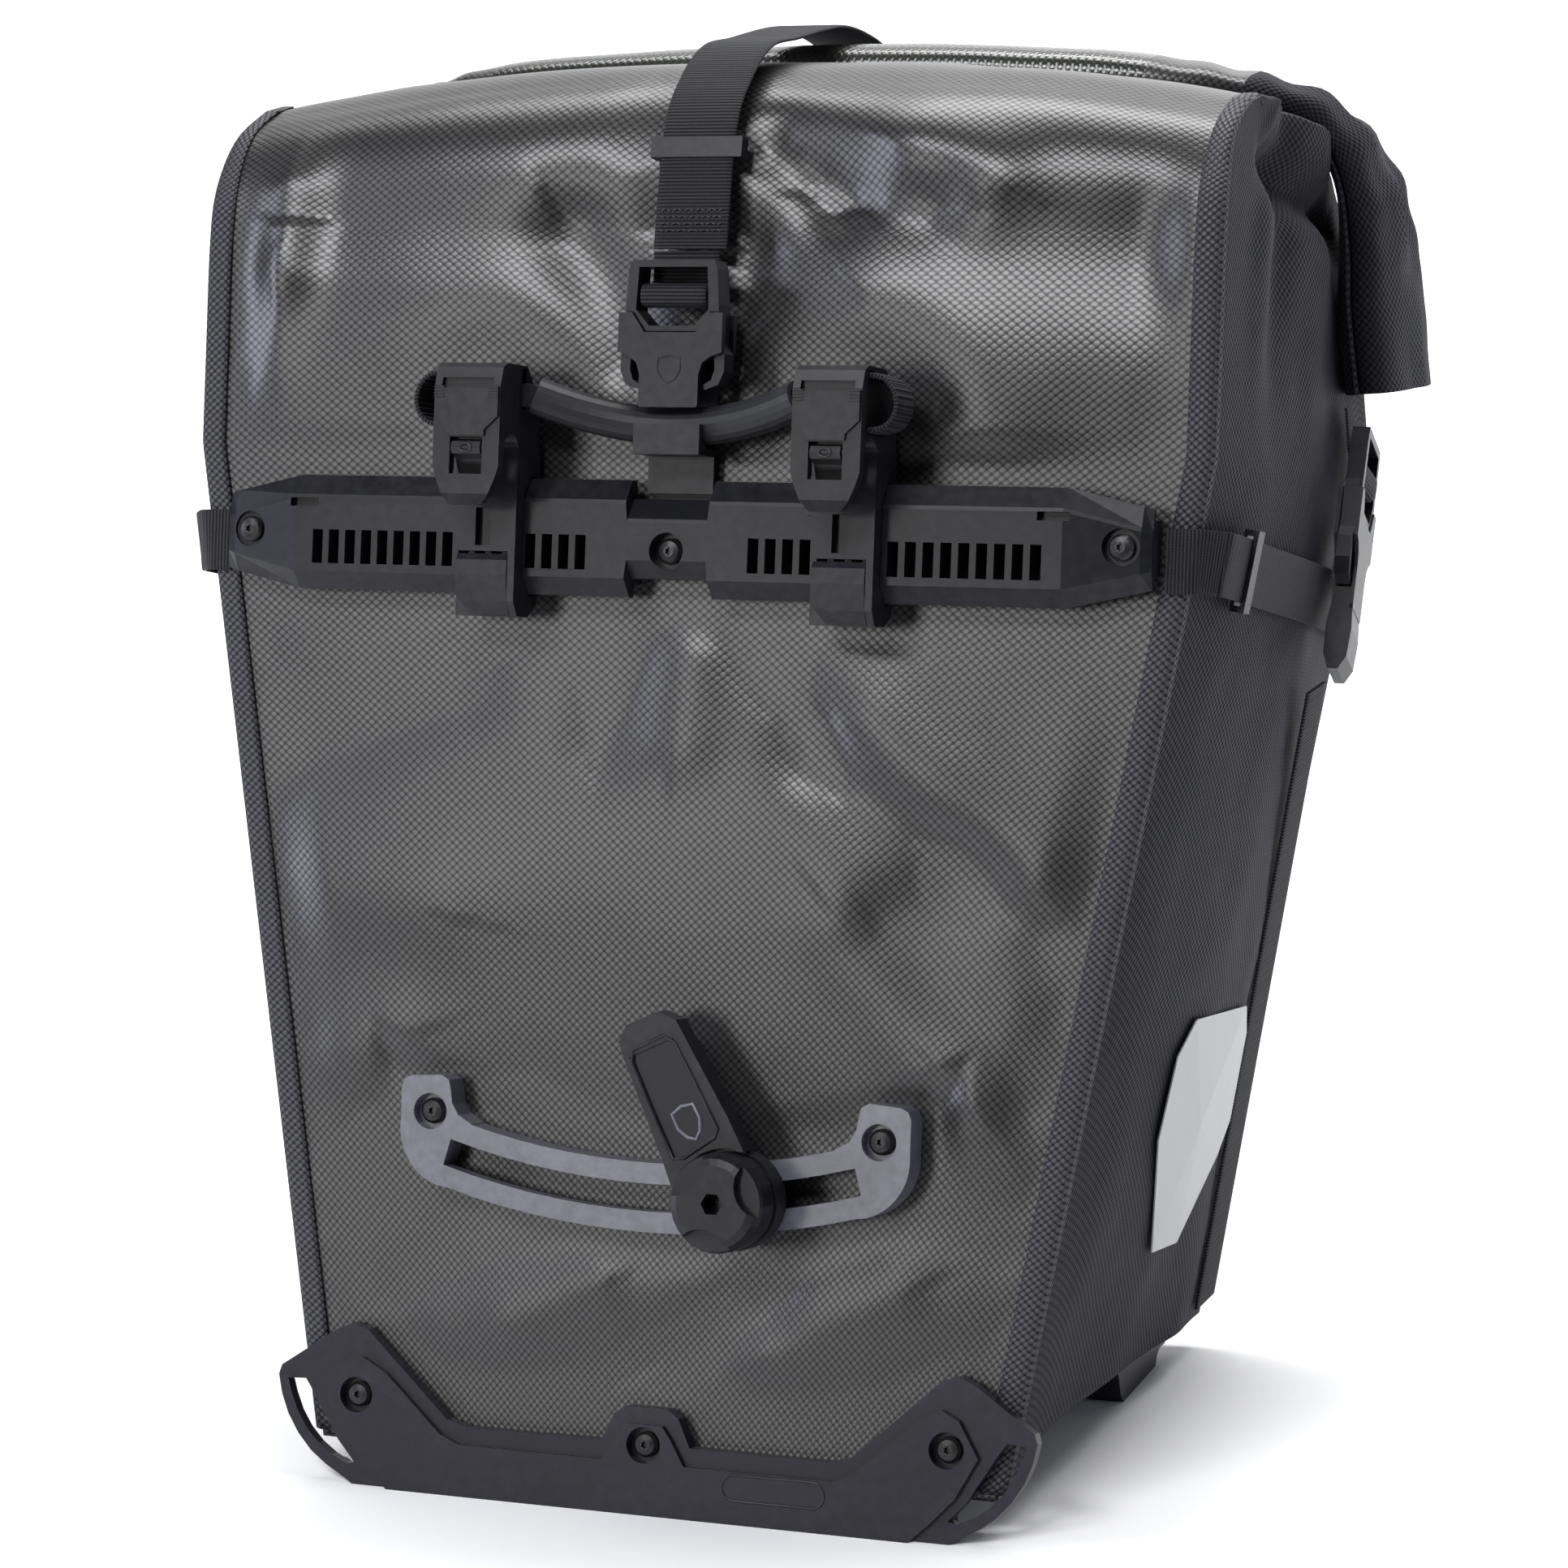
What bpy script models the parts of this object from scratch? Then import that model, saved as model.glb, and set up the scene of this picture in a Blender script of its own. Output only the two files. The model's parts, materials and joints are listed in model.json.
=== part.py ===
"""Roll-top bicycle pannier bag with carrier rail, hooks, lower arc rail and swivel anchor.

The bag is modelled upright in its own frame (x across the rear face, y from the carrier
side to the street side, z up) and hung under one empty that leans it back onto its feet.
Sizes are in millimetres; MM turns them into Blender's metres.
"""
import math

import bmesh
import bpy
from mathutils import Matrix, Vector

MM = 0.001
GAP = 0.3                      # clearance between neighbouring pieces

# ---- driving dimensions: the bag ----
DEPTH = 170.0                  # rear face to street face
BASE_HALF_WIDTH = 113.0        # half width of the rear face, run down to z = 0
SIDE_SLOPE = 0.17              # half width gained for each millimetre of height
TOP_HALF_WIDTH = 168.0
WIDEST = (TOP_HALF_WIDTH - BASE_HALF_WIDTH) / SIDE_SLOPE
GUSSET_BULGE = 10.0
REAR_BOTTOM = 13.0             # lowest fabric edge at the rear face
FABRIC = 0.8
PANEL = 1.6
SHOULDER = 388.0               # height where the rear face starts to curve in
FOOT_TOE = (150.0, 36.0)       # (y, z) of the feet where they meet the ground
LEAN = math.atan2(FOOT_TOE[1], FOOT_TOE[0])

# ---- roll closure ----
ROLL_AXIS = [(0, 104, 450), (60, 104.5, 449), (112, 108, 446), (140, 116, 442.5), (157, 127, 439.5),
             (168, 137, 430), (174.5, 145, 412), (178, 151, 383), (178.5, 156, 356)]
ROLL_HALF_DEPTH = 27.0
ROLL_HALF_HEIGHT = 13.0
ROLL_END_HALF_HEIGHT = 7.5

# ---- carrier rail ----
RAIL_Z = 295.4
RAIL_HALF_LENGTH = 152.0
RAIL_TAPER_START = 126.0
RAIL_HALF_HEIGHT = 17.75
RAIL_WAIST_HALF_HEIGHT = 12.1
RAIL_WAIST_HALF_WIDTH = 13.1
RAIL_FRONT = -14.0
SLOT_PITCH = 5.6
SLOT_COUNT = 17
SLOT_FIRST = 28.4
SLOT_SIZE = (3.5, 10.5)
SLOT_Z = 290.8
RAIL_SCREWS = [(-143.2, 295.9), (0.0, 291.7), (143.2, 295.9)]

# ---- hooks ----
HOOK_X = 58.5
HOOK_HALF_WIDTH = 11.0
NOSE_FRONT = -34.0
LATCH_PIVOT = (-32.0, 321.0)   # (y, z)
LATCH_BARREL = 2.6
LATCH_PIN = 1.5
LEVER_PIVOT = (-17.7, 286.6)   # (y, z)

# ---- handle ----
HANDLE_RADIUS = 5.75
HANDLE_BORE = 4.3
HANDLE_HALF_SPAN = 43.5
HANDLE_SAG = 8.6
HANDLE_Z = 329.5
HANDLE_Y = -8.2
HANDLE_END_Y = -17.2
TONGUE_HALF_HEIGHT = 3.5
TONGUE_HALF_DEPTH = 1.2
TONGUE_END = 60.3

# ---- webbing ----
WEBBING = 1.3
STRAP_HALF_WIDTH = 12.0
SIDE_STRAP_HALF_WIDTH = 9.5
STRAP_STAND = 7.8              # how far the side strap stands off the gusset's rear edge line

# ---- lower arc rail and anchor ----
ARC_CENTRE_Z = 347.6
ARC_RADIUS = 252.0
ARC_HALF_WIDTH = 10.6
ARC_SLOT_HALF_WIDTH = 4.2
ARC_HALF_ANGLE = math.asin(68.0 / ARC_RADIUS)
ARC_SCREWS = [(-74.2, 117.2), (74.2, 117.2)]
ARC_FRONT = -10.0
BOLT_X = 30.0
BOLT_Z = ARC_CENTRE_Z - math.sqrt(ARC_RADIUS ** 2 - BOLT_X ** 2)
ARM_ANGLE = math.radians(29.0)
KNOB_RADIUS = 15.0

# ---- edge protector, feet, fasteners ----
PROTECTOR_FRONT = -5.3
PROTECTOR_STEP = 1.6
PROTECTOR_SCREWS = [(-97.9, 26.9), (0.0, 19.8), (97.9, 26.9)]
FOOT_X = 104.0
SCREW_HEAD = 4.0
SCREW_SHANK = 2.0
SCREW_BORE = 2.4
RECESS = 5.6
STIFFENER_Y = (2.2, 4.2)


# ---------------------------------------------------------------- geometry helpers
def place(axis, along, point):
    """The 3-D point at `along` on the axis, with the other two coordinates from a 2-D point."""
    u, v = point
    return {"x": (along, u, v), "y": (u, along, v), "z": (u, v, along)}[axis]


def closed(bm):
    bmesh.ops.remove_doubles(bm, verts=bm.verts, dist=1e-5)
    bmesh.ops.recalc_face_normals(bm, faces=bm.faces)
    return bm


def loft(rings, hollow=None):
    """A closed body through the rings; with `hollow`, a pipe whose bore follows those rings."""
    bm = bmesh.new()

    def skin(loops):
        grid = [[bm.verts.new(point) for point in ring] for ring in loops]
        for low, high in zip(grid, grid[1:]):
            for i in range(len(low)):
                j = (i + 1) % len(low)
                bm.faces.new((low[i], low[j], high[j], high[i]))
        return grid

    outside = skin(rings)
    if hollow is None:
        bm.faces.new(outside[0])
        bm.faces.new(outside[-1])
        return closed(bm)
    inside = skin(hollow)
    for outer, inner in ((outside[0], inside[0]), (outside[-1], inside[-1])):
        for i in range(len(outer)):
            j = (i + 1) % len(outer)
            bm.faces.new((outer[i], outer[j], inner[j], inner[i]))
    return closed(bm)


def prism(outline, axis, low, high):
    """An outline extruded along an axis."""
    return loft([[place(axis, low, p) for p in outline], [place(axis, high, p) for p in outline]])


def slab(x, y, z):
    """A box between the (low, high) pairs."""
    corners = [(x[0], y[0]), (x[1], y[0]), (x[1], y[1]), (x[0], y[1])]
    return prism(corners, "z", z[0], z[1])


def circle(centre, radius, sides=24, start=0.0, sweep=2 * math.pi):
    count = sides if sweep >= 2 * math.pi else sides + 1
    return [(centre[0] + radius * math.cos(start + sweep * i / sides),
             centre[1] + radius * math.sin(start + sweep * i / sides)) for i in range(count)]


def rod(centre, radius, axis, low, high, sides=24):
    return prism(circle(centre, radius, sides), axis, low, high)


def mirrored(half):
    """A full outline from its +u half, listed from one end of the axis of symmetry to the other."""
    return half + [(-u, v) for u, v in reversed(half) if abs(u) > 1e-9]


def thick_line(path, thickness):
    """The outline of a strip that follows a 2-D path."""
    left, right = [], []
    for i, point in enumerate(path):
        before = Vector(path[max(i - 1, 0)])
        after = Vector(path[min(i + 1, len(path) - 1)])
        here = Vector(point)
        arriving = (here - before).normalized() if i else (after - here).normalized()
        leaving = (after - here).normalized() if i < len(path) - 1 else arriving
        along = (arriving + leaving).normalized()
        normal = Vector((-along.y, along.x))
        reach = thickness / 2 / max(0.5, normal.dot(Vector((-leaving.y, leaving.x))))
        left.append(tuple(here + normal * reach))
        right.append(tuple(here - normal * reach))
    return left + right[::-1]


def sheet(outer, inner):
    """A thin closed body between two grids of points of the same size."""
    bm = bmesh.new()
    rows, columns = len(outer), len(outer[0])
    front = [[bm.verts.new(p) for p in row] for row in outer]
    back = [[bm.verts.new(p) for p in row] for row in inner]
    for r in range(rows - 1):
        for c in range(columns - 1):
            bm.faces.new((front[r][c], front[r][c + 1], front[r + 1][c + 1], front[r + 1][c]))
            bm.faces.new((back[r][c], back[r + 1][c], back[r + 1][c + 1], back[r][c + 1]))
    rim = [(0, c) for c in range(columns)] + [(r, columns - 1) for r in range(1, rows)]
    rim += [(rows - 1, c) for c in range(columns - 2, -1, -1)] + [(r, 0) for r in range(rows - 2, 0, -1)]
    for (r0, c0), (r1, c1) in zip(rim, rim[1:] + rim[:1]):
        bm.faces.new((front[r0][c0], front[r1][c1], back[r1][c1], back[r0][c0]))
    return closed(bm)


def moved(bm, offset=(0, 0, 0), turn=None):
    """The same body turned about the origin, then shifted."""
    matrix = Matrix.Translation(Vector(offset)) @ (turn.to_4x4() if turn else Matrix.Identity(4))
    bmesh.ops.transform(bm, matrix=matrix, verts=bm.verts)
    return closed(bm)


def combine(base, others, operation):
    """The base after a Boolean with each of the other bodies."""
    scene = bpy.context.scene.collection

    def temporary(bm):
        mesh = bpy.data.meshes.new("work")
        bm.to_mesh(mesh)
        bm.free()
        obj = bpy.data.objects.new("work", mesh)
        scene.objects.link(obj)
        return obj

    target = temporary(base)
    tools = [temporary(other) for other in others]
    for tool in tools:
        step = target.modifiers.new("step", "BOOLEAN")
        step.operation = operation
        step.object = tool
    result = bmesh.new()
    result.from_object(target, bpy.context.evaluated_depsgraph_get())
    for obj in [target] + tools:
        mesh = obj.data
        bpy.data.objects.remove(obj)
        bpy.data.meshes.remove(mesh)
    bmesh.ops.dissolve_limit(result, angle_limit=math.radians(0.3), verts=result.verts, edges=result.edges)
    return closed(result)


def joined(base, *others):
    return combine(base, others, "UNION")


def cut(base, *others):
    return combine(base, others, "DIFFERENCE")


# ---------------------------------------------------------------- materials and objects
PALETTE = {
    "coated_fabric": ((0.045, 0.045, 0.050), 0.38, 0.0),
    "woven_fabric": ((0.035, 0.036, 0.048), 0.75, 0.0),
    "rolled_fabric": ((0.060, 0.064, 0.056), 0.35, 0.0),
    "liner_board": ((0.10, 0.10, 0.10), 0.6, 0.0),
    "hard_plastic": ((0.030, 0.031, 0.035), 0.55, 0.0),
    "grey_plastic": ((0.085, 0.084, 0.100), 0.45, 0.0),
    "guard_plastic": ((0.028, 0.027, 0.040), 0.42, 0.0),
    "rubber": ((0.030, 0.030, 0.033), 0.7, 0.0),
    "webbing": ((0.015, 0.015, 0.018), 0.85, 0.0),
    "black_steel": ((0.020, 0.020, 0.022), 0.3, 1.0),
    "reflective": ((0.58, 0.60, 0.62), 0.35, 0.0),
}


def material(name):
    found = bpy.data.materials.get(name)
    if found:
        return found
    colour, roughness, metallic = PALETTE[name]
    new = bpy.data.materials.new(name)
    new.use_nodes = True
    shader = new.node_tree.nodes["Principled BSDF"]
    shader.inputs["Base Color"].default_value = (*colour, 1.0)
    shader.inputs["Roughness"].default_value = roughness
    shader.inputs["Metallic"].default_value = metallic
    return new


def part(name, bm, finish, origin=(0, 0, 0), smooth=35):
    """Turn a body in millimetres into a named object whose origin is at `origin`."""
    shift = Matrix.Translation(-Vector(origin))
    bmesh.ops.transform(bm, matrix=Matrix.Scale(MM, 4) @ shift, verts=bm.verts)
    mesh = bpy.data.meshes.new(name)
    bm.to_mesh(mesh)
    bm.free()
    mesh.materials.append(material(finish))
    mesh.shade_smooth()
    mesh.set_sharp_from_angle(angle=math.radians(smooth))
    obj = bpy.data.objects.new(name, mesh)
    bpy.context.scene.collection.objects.link(obj)
    obj.parent = bpy.data.objects["pannier"]
    obj.location = Vector(origin) * MM
    return obj


# ---------------------------------------------------------------- shape of the bag
def half_width(z):
    return min(TOP_HALF_WIDTH, BASE_HALF_WIDTH + SIDE_SLOPE * z)


def bottom_edge(y):
    """Height of the lower fabric edge, which rises quickly behind the rear corner."""
    return REAR_BOTTOM + 16 * (1 - math.exp(-max(y, 0) / 14)) + 0.133 * y


def bulge(z):
    """How far the middle of a gusset stands out."""
    return GUSSET_BULGE * math.sin(math.pi * min(max(z - 30, 0), 330) / 330)


def fold(y, z):
    """How far the top of a gusset folds in under the end of the roll."""
    return 0.26 * max(0, z - 330) * min(1, max(0, y - 8) / 50)


def gusset_top(y):
    """Height of the gusset's upper edge, highest in the middle where it goes in under the roll."""
    knots = [(3, 404), (12, 412), (28, 422), (55, 427), (115, 425.5), (142, 418), (167, 386), (DEPTH, 384)]
    for (y0, z0), (y1, z1) in zip(knots, knots[1:]):
        if y <= y1:
            return z0 + (z1 - z0) * max(0, y - y0) / (y1 - y0)
    return knots[-1][1]


GUSSET_ROW = [(9.0, -0.9, 0), (3.0, -0.9, 0), (0.8, -0.2, 0), (0, 2.5, 0), (0, 12, 0.25), (0, 28, 0.55),
              (0, 55, 0.85), (0, 85, 1), (0, 115, 0.8), (0, 142, 0.4), (0, DEPTH - 3, 0),
              (0.8, DEPTH + 0.4, 0), (3.0, DEPTH + 0.9, 0), (9.0, DEPTH + 0.9, 0)]


def gusset(side):
    """Side wall with its overlap strips on the rear and street faces; +z edge folds inward."""
    levels = [0, 0.07, 0.16, 0.3, 0.45, 0.6, 0.7, 0.79, 0.86, 0.93, 0.97, 1.0]
    outer, inner = [], []
    for level in levels:
        outer_row, inner_row = [], []
        for inset, y, share in GUSSET_ROW:
            low = bottom_edge(y) + 1.5
            z = low + level * (gusset_top(y) - low)
            x = half_width(z) - inset + share * bulge(z) - fold(y, z)
            outer_row.append((side * x, y, z))
            toward = 0.6 if y < 0 else (-0.6 if y > DEPTH else 0)
            across = 0.0 if abs(toward) > 0 and inset > 1 else 0.7
            inner_row.append((side * (x - across), y + toward, z))
        outer.append(outer_row)
        inner.append(inner_row)
    return sheet(outer, inner)


REAR_PROFILE = [(0, 13), (0, 60), (0, 160), (0, 260), (0, WIDEST), (0, SHOULDER), (4, 412), (14, 432),
                (30, 444), (50, 447.5), (74, 447)]
STREET_PROFILE = [(DEPTH, 56), (DEPTH, 120), (DEPTH, 220), (DEPTH, WIDEST), (DEPTH, 355), (DEPTH, 385),
                  (DEPTH - 5, 405), (DEPTH - 14, 420), (DEPTH - 22, 430), (DEPTH - 30, 436)]


def face_panel(profile, inward, taper):
    """A face of the bag: its (y, z) profile swept across, narrowed at the top by `taper(z)`."""
    outer, inner = [], []
    spread = [-1, -0.8, -0.55, -0.25, 0, 0.25, 0.55, 0.8, 1]
    for i, (y, z) in enumerate(profile):
        ahead = Vector(profile[min(i + 1, len(profile) - 1)]) - Vector(profile[max(i - 1, 0)])
        normal = Vector((ahead.y, -ahead.x)).normalized() * inward * PANEL
        reach = half_width(z) - 2.6 - taper(z)
        drop = 12 * min(1, max(0, z - 395) / 45)
        row = [(u * reach, y, z - drop * abs(u) ** 2.5) for u in spread]
        outer.append(row)
        inner.append([(x, y + normal.x, z + normal.y) for x, y, z in row])
    return sheet(outer, inner)


def bottom_panel():
    outer, inner = [], []
    for y in (2.4, 6, 12, 20, 34, 60, 100, 135, DEPTH - 2):
        z = bottom_edge(y)
        reach = half_width(z) - 2.0
        outer.append([(u * reach, y, z) for u in (-1, -0.5, 0, 0.5, 1)])
        inner.append([(x, y, z + PANEL) for x, y, z in outer[-1]])
    return sheet(outer, inner)


def roll_rings(half_depth, half_height, end_half_height, trim=0.0):
    """Sections of the flattened roll along its axis, both ends bent down over the gussets."""
    axis = [(-x, y, z) for x, y, z in reversed(ROLL_AXIS[1:])] + ROLL_AXIS
    rings = []
    for i, centre in enumerate(axis):
        ahead = Vector(axis[min(i + 1, len(axis) - 1)]) - Vector(axis[max(i - 1, 0)])
        up = Vector((-ahead.z, 0, ahead.x)).normalized()
        bend = min(1, max(0, abs(centre[0]) - 95) / 60)
        tall = half_height + (end_half_height - half_height) * bend
        ring = []
        for u, v in circle((0, 0), 1, 20, start=math.pi / 20):
            depth = half_depth * math.copysign(abs(u) ** 0.75, u)
            height = tall * math.copysign(abs(v) ** 0.75, v)
            ring.append(tuple(Vector(centre) + Vector((0, depth, 0)) + up * height))
        rings.append(ring)
    return rings[int(trim):len(rings) - int(trim)]


def fabric():
    holes = [rod(s, SCREW_BORE, "y", -2, 6, 16) for s in RAIL_SCREWS + ARC_SCREWS + PROTECTOR_SCREWS]
    rear = face_panel(REAR_PROFILE, 1, lambda z: 0.12 * max(0, z - 400))
    part("rear_panel", cut(rear, *holes), "coated_fabric")
    street = face_panel(STREET_PROFILE, -1, lambda z: 1 + 0.35 * max(0, z - 335) + 0.25 * max(0, z - 405))
    part("front_panel", street, "coated_fabric")
    for side, word in ((-1, "left"), (1, "right")):
        part("gusset_" + word, gusset(side), "woven_fabric")
    part("bottom_panel", bottom_panel(), "coated_fabric")
    roll = loft(roll_rings(ROLL_HALF_DEPTH, ROLL_HALF_HEIGHT, ROLL_END_HALF_HEIGHT),
                hollow=roll_rings(19, 3.0, 2.2))
    part("roll_top", roll, "rolled_fabric")
    strip = loft(roll_rings(14, 1.2, 1.2, trim=4))
    part("roll_stiffener", strip, "liner_board")
    outline = mirrored([(0, 46), (108, 46), (113, 60), (130, 160), (150, 285), (150, 322), (146, 328), (0, 328)])
    holes = [rod(s, SCREW_BORE, "y", -2, 6, 16) for s in RAIL_SCREWS + ARC_SCREWS]
    board = prism(outline, "y", *STIFFENER_Y)
    part("back_stiffener", cut(board, *holes), "liner_board")


def reflector(side):
    """Angular reflective patch laid on the lower gusset."""
    outline = [(115, 157), (62, 155), (53, 144), (54, 118), (77, 81), (102, 82), (126, 108), (133, 119), (125, 148)]
    centre = (93, 120)
    outer = [[], []]
    inner = [[], []]
    for y, z in outline + outline[:1]:
        for row, (u, v) in enumerate((centre, (y, z))):
            share = 1 - ((u - 85) / 85) ** 2
            x = half_width(v) + 0.95 * share * bulge(v) + 1.6
            outer[row].append((side * (x + 0.5), u, v))
            inner[row].append((side * x, u, v))
    bm = bmesh.new()
    faces = []
    for rows in (outer, inner):
        hub = bm.verts.new(rows[0][0])
        ring = [bm.verts.new(p) for p in rows[1][:-1]]
        faces.append((hub, ring))
    for hub, ring in faces:
        for i in range(len(ring)):
            bm.faces.new((hub, ring[i], ring[(i + 1) % len(ring)]))
    top, low = faces[0][1], faces[1][1]
    for i in range(len(top)):
        j = (i + 1) % len(top)
        bm.faces.new((top[i], top[j], low[j], low[i]))
    return closed(bm)


# ---------------------------------------------------------------- fasteners
def screw(name, at, face, length):
    """Pan-head screw along +y: domed head standing proud of `face`, six-lobe socket."""
    dome = [(face, SCREW_HEAD), (face - 1.0, SCREW_HEAD), (face - 1.9, 3.1), (face - 2.2, 1.6)]
    rings = [[place("y", y, p) for p in circle(at, radius, 20)] for y, radius in reversed(dome)]
    rings += [[place("y", face, p) for p in circle(at, SCREW_SHANK, 20)],
              [place("y", face + length, p) for p in circle(at, SCREW_SHANK, 20)]]
    socket = prism([(at[0] + (1.35 if i % 2 else 0.85) * math.cos(math.pi * i / 6),
                     at[1] + (1.35 if i % 2 else 0.85) * math.sin(math.pi * i / 6)) for i in range(12)],
                   "y", face - 4, face - 0.9)
    part(name, cut(loft(rings), socket), "black_steel", origin=(at[0], face, at[1]))


def nut(name, at, low):
    """Flanged hexagon nut on the inside of the bag."""
    body = joined(rod(at, 6.5, "y", low, low + 1.2, 20), prism(circle(at, 4.4, 6), "y", low + 0.9, low + 4.2))
    part(name, cut(body, rod(at, SCREW_BORE, "y", low - 1, low + 6, 16)), "black_steel",
         origin=(at[0], low, at[1]))


def recess(at, face, floor):
    """Cutter for a screw's round recess and its through hole."""
    wide = rod(at, RECESS, "y", face - 3, floor, 24)
    return joined(wide, rod(at, SCREW_BORE, "y", floor - 0.5, 3, 16))


SIDES = ((-1, "left"), (0, "middle"), (1, "right"))


# ---------------------------------------------------------------- carrier rail
def rail_section(x, half_height, front):
    """Cross-section with a flange at top and bottom that the hooks reach behind."""
    base = half_height - 4
    shoulder = front + min(5.0, 0.6 * (-6 - front))
    points = [(-0.6, -base), (-0.6, base), (-6, base), (-6, half_height), (shoulder - 0.2, half_height),
              (front + 0.4, half_height - 6.2), (front, half_height - 7.4), (front, -half_height + 5.4),
              (shoulder, -half_height), (-6, -half_height), (-6, -base)]
    return [(x, y, RAIL_Z + z) for y, z in points]


def rail():
    waist = RAIL_WAIST_HALF_WIDTH
    stations = [(-RAIL_HALF_LENGTH, 11.7, -8.6), (-RAIL_HALF_LENGTH + 3, 12.6, -10.4),
                (-RAIL_TAPER_START, RAIL_HALF_HEIGHT, RAIL_FRONT), (-waist - 0.6, RAIL_HALF_HEIGHT, RAIL_FRONT),
                (-waist, RAIL_WAIST_HALF_HEIGHT, RAIL_FRONT)]
    stations += [(-x, h, f) for x, h, f in reversed(stations)]
    body = loft([rail_section(*station) for station in stations])
    cutters = []
    for side in (-1, 1):
        for k in range(SLOT_COUNT):
            x = side * (SLOT_FIRST + k * SLOT_PITCH)
            w, h = SLOT_SIZE[0] / 2, SLOT_SIZE[1] / 2
            cutters.append(slab((x - w, x + w), (-16, 2), (SLOT_Z - h, SLOT_Z + h)))
        cutters.append(slab((side * 123 - 5, side * 123 + 5), (-16, -11), (303.2, 305.8)))
    cutters += [recess(s, RAIL_FRONT, -9.5) for s in RAIL_SCREWS]
    cutters.append(slab((-10.6, 10.6), (-2.8, 1), (270, 320)))
    part("rail", cut(body, *cutters), "hard_plastic")
    for (side, word), at in zip(SIDES, RAIL_SCREWS):
        screw("rail_screw_" + word, at, -9.8, 17.5)
        nut("rail_nut_" + word, at, STIFFENER_Y[1] + GAP)


# ---------------------------------------------------------------- hooks
def hook_profile():
    """Side view (y, z): nose, cap, back plate, and the clamp that wraps the carrier rail."""
    roof = circle((-25.2, 320.4), 5.4, 10, start=0, sweep=math.pi)
    return ([(-33.2, 303.5), (NOSE_FRONT, 307), (NOSE_FRONT, 340), (-32.4, 345.4), (-29, 347), (-15, 347),
             (-9.5, 341), (-5, 330), (-3.2, 317), (-3.2, 310), (-5.6, 310), (-5.6, 313.6), (-9.5, 313.6),
             (-13.4, 309.6), (-14.4, 306.9), (-14.4, 282.8), (-9.3, 277.1), (-5.6, 277.1), (-5.6, 280.4),
             (-3.2, 280.4), (-3.2, 274.4), (-9, 270.6), (-17, 270.6), (-20, 275), (-20, 302.8)]
            + roof + [(-30.6, 303.5)])


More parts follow.
